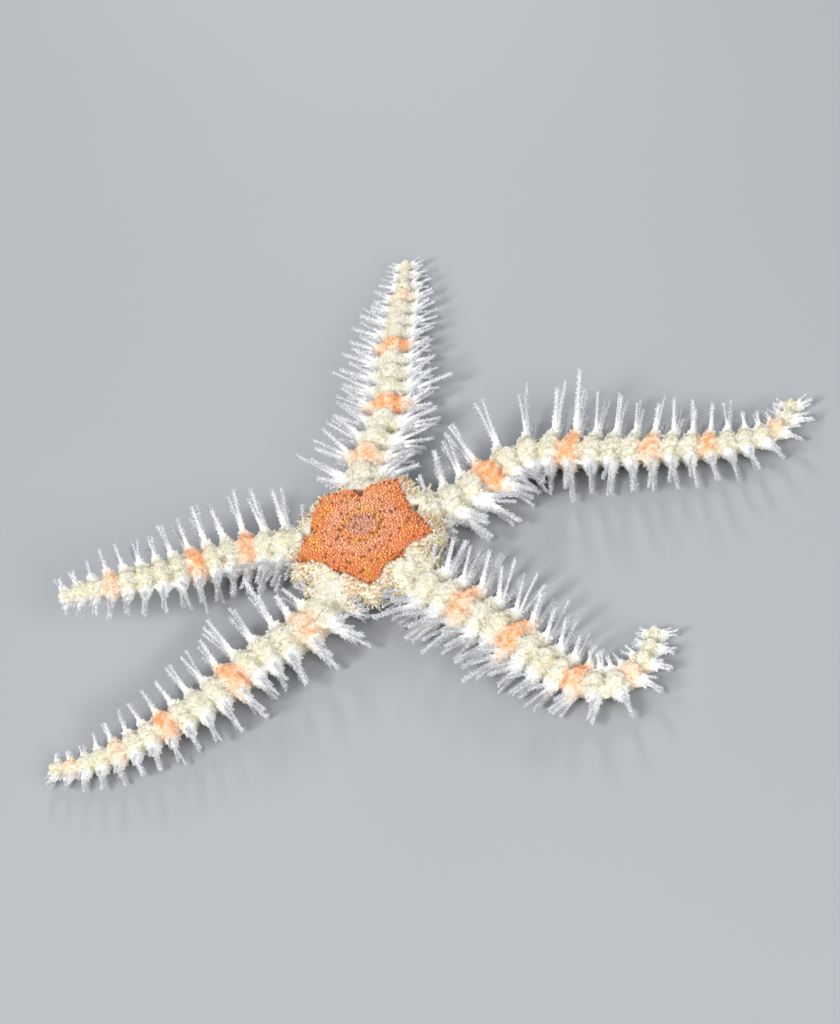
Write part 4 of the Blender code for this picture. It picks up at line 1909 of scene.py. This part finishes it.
class ShadeGraph(Graph):
    """A shader tree, with short ways to its usual nodes."""

    place: NodeSocket

    def mark(self, mark: Mark) -> NodeSocket:
        """Reads a mark of the surface."""
        return self.add("ShaderNodeAttribute", {"attribute_name": mark.value}, {}).outputs["Fac"]

    def noise(self, scale: object, detail: float = 3.0, roughness: float = 0.55) -> NodeSocket:
        """Gives soft noise, with features of one over scale millimetres."""
        inputs = {"Vector": self.place, "Scale": scale, "Detail": detail, "Roughness": roughness}
        return self.add("ShaderNodeTexNoise", {}, inputs).outputs["Fac"]

    def cells(self, scale: object) -> NodeSocket:
        """Gives the distance to the nearest of scattered cell centres."""
        inputs = {"Vector": self.place, "Scale": scale}
        return self.add("ShaderNodeTexVoronoi", {}, inputs).outputs["Distance"]

    def gap(self, value: object, middle: float) -> NodeSocket:
        """Gives how far a value is from a middle."""
        return self.math("ABSOLUTE", self.math("SUBTRACT", value, middle))

    def step(
        self, value: object, low: float, high: float, start: float = 0.0, end: float = 1.0
    ) -> NodeSocket:
        """Maps a value from low..high to start..end by a soft step."""
        inputs = {"Value": value, "From Min": low, "From Max": high, "To Min": start, "To Max": end}
        return self.add("ShaderNodeMapRange", {"interpolation_type": "SMOOTHSTEP"}, inputs).outputs[0]

    def mix(self, share: object, first: object, second: object) -> NodeSocket:
        """Mixes two colours."""
        inputs = {"Factor": share, "A": first, "B": second}
        for name, value in inputs.items():
            if isinstance(value, tuple):
                inputs[name] = (*value, 1.0)
        return self.open_output(self.add("ShaderNodeMix", {"data_type": "RGBA"}, inputs))


class GroupGraph(ShadeGraph):
    """An effect that several materials share, as a node group with named inputs and outputs."""

    def __init__(self, name: str, inputs: dict[str, float]) -> None:
        """Starts a group that takes a place in millimetres and named values.

        Args:
            name: The group's name.
            inputs: Its values and what they are unless a material sets them.
        """
        super().__init__(bpy.data.node_groups.new(name, "ShaderNodeTree"))
        self.tree.interface.new_socket("Place", in_out="INPUT", socket_type="NodeSocketVector")
        for title, value in inputs.items():
            made = self.tree.interface.new_socket(title, in_out="INPUT", socket_type="NodeSocketFloat")
            made.default_value = value
        self.start = self.tree.nodes.new("NodeGroupInput")
        self.end = self.tree.nodes.new("NodeGroupOutput")
        self.place = self.start.outputs["Place"]

    def give(self, name: str, kind: str, value: NodeSocket) -> None:
        """Adds a named output."""
        self.tree.interface.new_socket(name, in_out="OUTPUT", socket_type=kind)
        self.tree.links.new(value, self.end.inputs[name])


@dataclass(frozen=True)
class ArmTint:
    """The tint of the arms, which skin and crystals share: cream, green, yellow, white and the bands."""

    pale: Colour = (0.82, 0.77, 0.65)
    shade: Colour = (0.62, 0.58, 0.42)
    green: Colour = (0.56, 0.62, 0.38)
    yellow: Colour = (0.82, 0.70, 0.40)
    white: Colour = (0.96, 0.97, 0.95)
    deep_orange: Colour = (0.92, 0.32, 0.09)
    pale_orange: Colour = (0.94, 0.52, 0.29)
    peach: Colour = (0.95, 0.69, 0.51)

    def group(self) -> NodeTree:
        """Builds the group."""
        graph = GroupGraph("arm_tint", {"Band": 0.0, "Knob": 0.0})
        broad = graph.noise(0.9, 2.0)
        middle = graph.noise(3.2, 4.0)
        colour = graph.mix(graph.step(middle, 0.32, 0.60), self.shade, self.pale)
        colour = graph.mix(graph.step(broad, 0.50, 0.68, 0.0, 0.3), colour, self.green)
        patch = graph.noise(1.7, 3.0)
        colour = graph.mix(graph.step(patch, 0.52, 0.66, 0.0, 0.5), colour, self.yellow)
        knob = graph.times(graph.start.outputs["Knob"], 0.95)
        colour = graph.mix(knob, colour, self.white)
        band = graph.times(graph.start.outputs["Band"], graph.step(patch, 0.36, 0.6, 1.5, 0.7))
        strong = graph.mix(graph.step(middle, 0.36, 0.64), self.deep_orange, self.pale_orange)
        faint = graph.mix(graph.step(middle, 0.36, 0.60), self.pale_orange, self.peach)
        orange = graph.mix(graph.step(band, 0.45, 0.95), faint, strong)
        share = graph.math("MINIMUM", graph.times(band, 1.6), 1.0)
        graph.give("Colour", "NodeSocketColor", graph.mix(share, colour, orange))
        return graph.tree


@dataclass(frozen=True)
class StarTint:
    """The tint of the star, which its ground and its granules share: orange round a pinkish grey plate."""

    orange: Colour = (0.82, 0.25, 0.06)
    bright: Colour = (0.94, 0.43, 0.17)
    golden: Colour = (0.90, 0.48, 0.07)
    red: Colour = (0.74, 0.17, 0.04)
    pink: Colour = (0.64, 0.37, 0.28)
    blush: Colour = (0.88, 0.52, 0.37)
    plate_radius: float = 0.85
    ring_radius: float = 1.22
    halo_radius: float = 1.85

    @staticmethod
    def ring(
        graph: ShadeGraph, radius: object, middle: float, reach: float, depth: float
    ) -> NodeSocket:
        """Gives a soft ring round the disc's centre."""
        return graph.step(graph.gap(radius, middle), reach * 0.3, reach, depth, 0.0)

    def group(self) -> NodeTree:
        """Builds the group."""
        graph = GroupGraph("star_tint", {"Star": 0.0, "Tone": 0.5})
        tone = graph.start.outputs["Tone"]
        star = graph.start.outputs["Star"]
        inputs = {0: graph.place, 1: tuple(DISC_CENTRE)}
        centre = graph.add("ShaderNodeVectorMath", {"operation": "SUBTRACT"}, inputs)
        inputs = {0: centre.outputs[0], 1: (1.0, 1.0, 0.0)}
        level = graph.add("ShaderNodeVectorMath", {"operation": "MULTIPLY"}, inputs)
        length = graph.add("ShaderNodeVectorMath", {"operation": "LENGTH"}, {0: level.outputs[0]})
        radius = length.outputs["Value"]
        varied = graph.math("ADD", tone, graph.math("SUBTRACT", graph.noise(2.2, 4.0), 0.5))
        colour = graph.mix(graph.step(varied, 0.1, 0.9), self.orange, self.bright)
        cloud = graph.step(graph.noise(0.8, 2.0), 0.53, 0.66)
        colour = graph.mix(graph.times(cloud, graph.step(tone, 0.2, 0.5)), colour, self.golden)
        colour = graph.mix(graph.step(star, 0.0, 0.9, 0.65, 0.0), colour, self.red)
        halo = self.ring(graph, radius, self.halo_radius, 0.9, 0.8)
        halo = graph.times(halo, graph.step(graph.noise(1.6, 3.0), 0.35, 0.6, 0.25, 1.0))
        halo = graph.times(halo, graph.step(varied, 0.1, 0.8, 0.5, 1.0))
        colour = graph.mix(halo, colour, self.blush)
        ring = self.ring(graph, radius, self.ring_radius, 0.32, 0.6)
        colour = graph.mix(graph.times(ring, graph.step(tone, 0.2, 0.7)), colour, self.golden)
        ragged = graph.math("ADD", radius, graph.times(graph.math("SUBTRACT", varied, 0.5), 0.3))
        plate = graph.step(ragged, self.plate_radius - 0.1, self.plate_radius + 0.3, 0.85, 0.0)
        graph.give("Colour", "NodeSocketColor", graph.mix(plate, colour, self.pink))
        specks = graph.math("ADD", self.ring(graph, radius, self.ring_radius, 0.22, 0.24), 0.07)
        rim = graph.step(star, 0.08, 0.28, 0.2, 0.0)
        graph.give("Dark", "NodeSocketFloat", graph.math("LESS_THAN", tone, graph.math("ADD", specks, rim)))
        return graph.tree


@dataclass(frozen=True)
class CrystalGrain:
    """The fine crystalline roughness of the limy skin, which all of the animal's finishes share."""

    cell_scale: float = 6.0
    noise_scale: float = 13.0

    def group(self) -> NodeTree:
        """Builds the group."""
        graph = GroupGraph("crystal_grain", {"Fineness": 1.0})
        fineness = graph.start.outputs["Fineness"]
        cells = graph.cells(graph.times(fineness, self.cell_scale))
        fine = graph.noise(graph.times(fineness, self.noise_scale), 3.0)
        crystal = graph.step(cells, 0.08, 0.6, 1.0, 0.0)
        height = graph.math("ADD", graph.times(crystal, 0.8), fine)
        graph.give("Height", "NodeSocketFloat", height)
        graph.give("Fine", "NodeSocketFloat", fine)
        return graph.tree


class Material(ShadeGraph):
    """A material in the making, whose place is the object's own, in millimetres."""

    def __init__(self, name: str) -> None:
        """Starts a material.

        Args:
            name: Its name.
        """
        self.material = bpy.data.materials.new(name)
        self.material.use_nodes = True
        super().__init__(self.material.node_tree)
        object_place = self.add("ShaderNodeTexCoord", {}, {}).outputs["Object"]
        inputs = {0: object_place, "Scale": 1 / MM}
        self.place = self.add("ShaderNodeVectorMath", {"operation": "SCALE"}, inputs).outputs[0]

    def shared(self, group: NodeTree, inputs: dict[str, object]) -> Node:
        """Places a shared effect, fed by this material's place and values."""
        return self.add("ShaderNodeGroup", {"node_tree": group}, {"Place": self.place, **inputs})

    def bump(self, height: object, strength: float, distance: float) -> NodeSocket:
        """Turns a height into a normal; the distance is in millimetres."""
        inputs = {"Height": height, "Strength": strength, "Distance": distance * MM}
        return self.add("ShaderNodeBump", {}, inputs).outputs[0]

    def surface(self, inputs: dict[str | int, object]) -> bpy.types.Material:
        """Ends the material with a Principled BSDF.

        Args:
            inputs: The shader's inputs.

        Returns:
            The material.
        """
        shader = self.add("ShaderNodeBsdfPrincipled", {}, inputs)
        end = self.tree.nodes.new("ShaderNodeOutputMaterial")
        self.tree.links.new(shader.outputs[0], end.inputs["Surface"])
        return self.material


@dataclass(frozen=True)
class LimyFinish:
    """What the animal's finishes share: their crystalline grain, their roughness and their gloss."""

    fineness: float = 1.3
    # The strength of the grain's bump and its depth.
    bump: Span = (0.3, 0.03)
    # The span of the value that the roughness follows, and the roughness at its ends.
    wear: Span = (0.0, 1.0)
    roughness: Span = (0.15, 0.4)
    gloss: tuple[tuple[str, object], ...] = ()

    def grained(self, graph: Material, grain: NodeTree) -> Node:
        """Places the crystalline grain in a material."""
        return graph.shared(grain, {"Fineness": self.fineness})

    def finished(
        self, graph: Material, colour: object, worn: object, grained: Node, **others: object
    ) -> bpy.types.Material:
        """Ends a material.

        Args:
            graph: The material in the making.
            colour: Its colour.
            worn: The value that its roughness follows.
            grained: Its grain.
            others: What else varies over it, by the name of the shader's input with underscores.

        Returns:
            The material.
        """
        varied = {name.replace("_", " "): value for name, value in others.items()}
        return graph.surface(
            {
                "Base Color": colour,
                "Roughness": graph.step(worn, *self.wear, *self.roughness),
                "Normal": graph.bump(grained.outputs["Height"], *self.bump),
                **dict(self.gloss),
                **varied,
            }
        )


@dataclass(frozen=True)
class SkinFinish(LimyFinish):
    """The skin: the arms' tint with painted shade in the seams between the joints, and a darker ground under
    the star that paints the shade between its granules.
    """

    # The painted shade in the seams between the joints, which also colours the dark lines along the back.
    seam: Colour = (0.34, 0.31, 0.22)
    fringe: Colour = (0.90, 0.79, 0.54)
    peach: Colour = (0.90, 0.60, 0.38)
    # The ground under the star is darker, as painted shade in the gaps between its granules.
    ground: Colour = (0.50, 0.13, 0.03)
    rim: Colour = (0.20, 0.10, 0.04)
    # The painted shade of small pits between the star's granules.
    pit_shade: Colour = (0.10, 0.04, 0.02)
    line_at: float = 0.46
    fineness: float = 1.0
    bump: Span = (0.7, 0.07)
    wear: Span = (0.3, 0.7)
    roughness: Span = (0.32, 0.55)
    gloss: tuple[tuple[str, object], ...] = (
        ("Subsurface Weight", 0.15), ("Subsurface Radius", (1.0, 0.7, 0.5)), ("Subsurface Scale", 0.3 * MM),
        ("Coat Weight", 0.15), ("Coat Roughness", 0.2),
    )

    def material(
        self, tint: NodeTree, star_tint: NodeTree, grain: NodeTree
    ) -> bpy.types.Material:
        """Builds the material.

        Args:
            tint: The arms' shared tint.
            star_tint: The star's shared tint.
            grain: The shared crystalline grain.

        Returns:
            The material.
        """
        graph = Material("skin")
        tinted = graph.shared(tint, {"Band": graph.mark(Mark.BAND), "Knob": graph.mark(Mark.KNOB)})
        grained = self.grained(graph, grain)
        fine = grained.outputs["Fine"]
        colour = tinted.outputs["Colour"]
        # Painted shade in the seams between the joints, patchy with the fine grain.
        seam = graph.times(graph.mark(Mark.SEAM), graph.step(fine, 0.35, 0.65, 0.15, 0.4))
        colour = graph.mix(seam, colour, self.seam)
        wavy = graph.math("ADD", graph.mark(Mark.ACROSS), graph.times(graph.noise(1.0, 2.0), 0.2))
        line = graph.step(graph.gap(wavy, self.line_at), 0.01, 0.06, 1.0, 0.0)
        line = graph.times(line, graph.step(graph.noise(0.5, 2.0), 0.44, 0.54, 0.0, 0.5))
        colour = graph.mix(line, colour, self.seam)
        star = graph.mark(Mark.STAR)
        edge = graph.mix(graph.step(graph.noise(2.4, 2.0), 0.5, 0.62), self.fringe, self.peach)
        colour = graph.mix(graph.times(graph.mark(Mark.FRINGE), 0.8), colour, edge)
        starred = graph.shared(star_tint, {"Star": star, "Tone": 0.5})
        # The ground under the star: its tint darkened as painted shade for the gaps between the granules.
        ground = graph.mix(0.65, starred.outputs["Colour"], self.ground)
        colour = graph.mix(graph.step(star, -0.06, 0.04), colour, ground)
        # Near-black dots under the star: painted shade of small pits between the granules.
        shaded_pits = graph.step(graph.cells(3.4), 0.10, 0.18, 0.9, 0.0)
        colour = graph.mix(graph.times(shaded_pits, graph.step(star, 0.0, 0.1)), colour, self.pit_shade)
        dark_rim = graph.step(graph.math("ABSOLUTE", star), 0.03, 0.14, 0.85, 0.0)
        colour = graph.mix(graph.times(dark_rim, graph.step(fine, 0.45, 0.55)), colour, self.rim)
        return self.finished(graph, colour, fine, grained)


@dataclass(frozen=True)
class GrainFinish(LimyFinish):
    """The star's granules: the star's tint, paler at their tops as a painted highlight so that their lower
    parts read as painted shade, with dark specks.
    """

    speck: Colour = (0.18, 0.07, 0.03)
    # The colour that their tops lean to, as a painted highlight.
    top: Colour = (0.93, 0.60, 0.45)
    bump: Span = (0.35, 0.04)
    roughness: Span = (0.25, 0.5)
    gloss: tuple[tuple[str, object], ...] = (
        ("Subsurface Weight", 0.1), ("Subsurface Radius", (1.0, 0.5, 0.3)), ("Subsurface Scale", 0.2 * MM),
        ("Coat Weight", 0.2), ("Coat Roughness", 0.15),
    )

    def material(self, star_tint: NodeTree, grain: NodeTree) -> bpy.types.Material:
        """Builds the material.

        Args:
            star_tint: The star's shared tint.
            grain: The shared crystalline grain.

        Returns:
            The material.
        """
        graph = Material("star_granules")
        tone = graph.mark(Mark.TONE)
        starred = graph.shared(star_tint, {"Star": graph.mark(Mark.STAR), "Tone": tone})
        # Paler towards the top: a painted highlight, which leaves the lower part darker as painted shade.
        paler = graph.step(graph.mark(Mark.ALONG), 0.4, 1.0, 0.0, 0.3)
        colour = graph.mix(paler, starred.outputs["Colour"], self.top)
        colour = graph.mix(graph.times(starred.outputs["Dark"], 0.9), colour, self.speck)
        return self.finished(graph, colour, tone, self.grained(graph, grain))


@dataclass(frozen=True)
class StumpFinish(LimyFinish):
    """The stumps of the disc's edge: yellowish cream, some peach, green or brown."""

    cream: Colour = (0.93, 0.89, 0.76)
    yellow: Colour = (0.94, 0.81, 0.50)
    green: Colour = (0.76, 0.79, 0.53)
    peach: Colour = (0.90, 0.62, 0.40)
    brown: Colour = (0.40, 0.26, 0.13)
    wear: Span = (0.3, 0.7)
    roughness: Span = (0.2, 0.45)
    gloss: tuple[tuple[str, object], ...] = (("Transmission Weight", 0.2), ("IOR", 1.4))

    def material(self, grain: NodeTree) -> bpy.types.Material:
        """Builds the material.

        Args:
            grain: The shared crystalline grain.

        Returns:
            The material.
        """
        graph = Material("fringe_stumps")
        tone = graph.mark(Mark.TONE)
        colour = graph.mix(graph.step(tone, 0.35, 0.6), self.cream, self.yellow)
        colour = graph.mix(graph.step(tone, 0.70, 0.8, 0.0, 0.7), colour, self.green)
        near_star = graph.step(graph.mark(Mark.STAR), -0.9, -0.1)
        colour = graph.mix(graph.times(near_star, graph.step(tone, 0.3, 0.7)), colour, self.peach)
        colour = graph.mix(graph.step(tone, 0.93, 0.96, 0.0, 0.8), colour, self.brown)
        grained = self.grained(graph, grain)
        return self.finished(graph, colour, grained.outputs["Fine"], grained)


@dataclass(frozen=True)
class CrystalFinish(LimyFinish):
    """The crystals on the arms: the skin's own tint, whiter and clearer."""

    clear: Colour = (0.93, 0.94, 0.92)
    olive: Colour = (0.46, 0.48, 0.22)
    gloss: tuple[tuple[str, object], ...] = (("Transmission Weight", 0.06), ("IOR", 1.4))

    def material(self, tint: NodeTree, grain: NodeTree) -> bpy.types.Material:
        """Builds the material.

        Args:
            tint: The arms' shared tint.
            grain: The shared crystalline grain.

        Returns:
            The material.
        """
        graph = Material("skin_crystals")
        tone = graph.mark(Mark.TONE)
        tinted = graph.shared(tint, {"Band": graph.mark(Mark.BAND), "Knob": graph.mark(Mark.KNOB)})
        plain = graph.math("SUBTRACT", 1.0, graph.mark(Mark.BAND))
        clear = graph.times(graph.step(tone, 0.2, 0.9, 0.0, 0.7), plain)
        colour = graph.mix(clear, tinted.outputs["Colour"], self.clear)
        olive = graph.times(graph.step(tone, 0.08, 0.05), graph.times(plain, 0.7))
        colour = graph.mix(olive, colour, self.olive)
        return self.finished(graph, colour, tone, self.grained(graph, grain))


@dataclass(frozen=True)
class SpineFinish(LimyFinish):
    """The spines: clear like glass, white at the root, with lighter patches that are partly frost and partly
    painted highlights.
    """

    root: Colour = (0.96, 0.96, 0.93)
    glass: Colour = (0.86, 0.87, 0.90)
    # The lighter patches: partly frosted glass, partly painted highlights.
    frost_and_highlight: Colour = (0.95, 0.96, 0.98)
    orange: Colour = (0.92, 0.55, 0.34)
    transmission: float = 0.5
    fineness: float = 0.9
    bump: Span = (0.3, 0.04)
    wear: Span = (0.35, 0.65)
    roughness: Span = (0.08, 0.4)
    gloss: tuple[tuple[str, object], ...] = (("IOR", 1.35),)

    def material(self, grain: NodeTree) -> bpy.types.Material:
        """Builds the material.

        Args:
            grain: The shared crystalline grain.

        Returns:
            The material.
        """
        graph = Material("spine_glass")
        along = graph.mark(Mark.ALONG)
        grained = self.grained(graph, grain)
        fine = grained.outputs["Fine"]
        # Lighter patches with the fine grain: partly frosted glass, partly painted highlights along the spine.
        glass = graph.mix(graph.step(fine, 0.45, 0.6), self.glass, self.frost_and_highlight)
        colour = graph.mix(graph.step(along, 0.08, 0.4), self.root, glass)
        tint = graph.times(graph.mark(Mark.BAND), graph.step(along, 0.0, 0.2, 0.5, 0.0))
        colour = graph.mix(tint, colour, self.orange)
        clear = graph.step(along, 0.1, 0.5, 0.0, self.transmission)
        return self.finished(graph, colour, fine, grained, Transmission_Weight=clear)


@dataclass(frozen=True)
class FloorFinish:
    """The pale floor, faintly cloudy."""

    colour: Colour = (0.36, 0.37, 0.39)
    other: Colour = (0.37, 0.38, 0.395)
    roughness: float = 0.6

    def material(self) -> bpy.types.Material:
        """Builds the material."""
        graph = Material("floor")
        colour = graph.mix(graph.noise(0.06, 2.0), self.colour, self.other)
        return graph.surface({"Base Color": colour, "Roughness": self.roughness})


@dataclass(frozen=True)
class Lamp:
    """A soft square light that faces the model: its place and side in metres, and its power in watts."""

    name: str
    place: tuple[float, float, float]
    side: float
    power: float
    colour: Colour

    def build(self) -> None:
        """Puts the light into the scene."""
        data = bpy.data.lights.new(self.name, "AREA")
        data.size = self.side
        data.energy = self.power
        data.color = self.colour
        item = Scratch.add(self.name, data)
        item.location = self.place
        item.rotation_mode = "QUATERNION"
        item.rotation_quaternion = (-Vector(self.place)).to_track_quat("-Z", "Y")


@dataclass
class Studio:
    """The floor, the soft lights and the camera, which looks down on the model from the front."""

    floor_size: float = 4.0
    elevation: float = 45.0
    roll: float = 22.0
    distance: float = 150.0
    aim_height: float = 2.6
    aim_right: float = 3.353
    aim_up: float = 1.138
    lens: float = 88.07
    sensor: float = 36.0
    clip: Span = (0.005, 50.0)
    lamps: tuple[Lamp, ...] = (
        Lamp("key", (-0.20, -0.11, 0.22), 0.10, 0.80, (1.0, 0.99, 0.97)),
        Lamp("front", (0.11, -0.25, 0.16), 0.18, 0.63, (0.98, 0.99, 1.0)),
        Lamp("rim", (0.04, 0.28, 0.14), 0.06, 0.35, (0.96, 0.98, 1.0)),
    )
    sky: Colour = (0.9, 0.93, 1.0)
    sky_strength: float = 0.36

    def camera(self) -> None:
        """Places the camera."""
        elevation = math.radians(self.elevation)
        roll = math.radians(self.roll)
        view = Vector((0.0, math.cos(elevation), -math.sin(elevation)))
        level = Vector((1.0, 0.0, 0.0))
        upright = Vector((0.0, math.sin(elevation), math.cos(elevation)))
        right = level * math.cos(roll) - upright * math.sin(roll)
        top = level * math.sin(roll) + upright * math.cos(roll)
        target = DISC_CENTRE + UP * self.aim_height + right * self.aim_right + top * self.aim_up
        data = bpy.data.cameras.new("camera")
        data.lens = self.lens
        data.sensor_width = self.sensor
        data.clip_start, data.clip_end = self.clip
        item = Scratch.add("camera", data)
        rotation = Matrix((right, top, -view)).transposed()
        item.matrix_world = Matrix.Translation((target - view * self.distance) * MM) @ rotation.to_4x4()
        bpy.context.scene.camera = item

    def build(self) -> None:
        """Makes the floor, the lights and the camera."""
        half = self.floor_size / 2
        mesh = bpy.data.meshes.new("floor")
        corners = [(-half, -half, 0.0), (half, -half, 0.0), (half, half, 0.0), (-half, half, 0.0)]
        mesh.from_pydata(corners, [], [(0, 1, 2, 3)])
        mesh.materials.append(FloorFinish().material())
        floor = Scratch.add("floor", mesh)
        for lamp in self.lamps:
            lamp.build()
        world = bpy.data.worlds.new("studio")
        world.use_nodes = True
        backdrop = world.node_tree.nodes["Background"]
        backdrop.inputs["Color"].default_value = (*self.sky, 1.0)
        backdrop.inputs["Strength"].default_value = self.sky_strength
        bpy.context.scene.world = world
        bpy.context.scene.view_settings.view_transform = "Standard"
        self.camera()


def attach(item: Object) -> None:
    """Lets a piece ride on the body, and logs it with its number of triangles."""
    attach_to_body(item, BODY)
    LOG.info("%s: %d triangles", item.name, count_triangles(item.data))


def main() -> None:
    """Builds the skin, the granules, the stumps, the spines and the studio."""
    logging.basicConfig(level=logging.INFO, format="%(message)s")
    bodies = [ArmBody(arm) for arm in ARMS]
    chance = random.Random(Seed.FANS)
    obstacles = Obstacles(bodies)
    roots = {body.arm.name: body.spine_roots(chance, obstacles) for body in bodies}
    tint = ArmTint().group()
    star_tint = StarTint().group()
    grain = CrystalGrain().group()
    skin = Skin(Disc(), bodies)
    mesh = skin.build([root for some in roots.values() for root in some])
    cap = skin.cap(mesh)
    mesh = skin.thin(mesh)
    mesh.materials.append(SkinFinish().material(tint, star_tint, grain))
    covering = finish_piece("skin", mesh)
    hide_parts(*sorted(frame["nodes"]))
    attach(covering)
    strewn = Granules()
    grains = strewn.strew(strewn.star, cap, GrainFinish().material(star_tint, grain))
    stumps = strewn.strew(strewn.fringe, cap, StumpFinish().material(grain))
    crystals = strewn.strew(strewn.body, cap, CrystalFinish().material(tint, grain))
    attach(grains)
    attach(stumps)
    attach(crystals)
    spines = Spines()
    patterns = spines.patterns()
    glass = SpineFinish().material(grain)
    for number, body in enumerate(bodies):
        name = body.arm.name
        piece = spines.build(name + "_spines", roots[name], patterns, glass, Seed.SPINE_TURNS + number)
        attach(piece)
    patterns.clear()
    Studio().build()


if __name__ == "__main__":
    main()
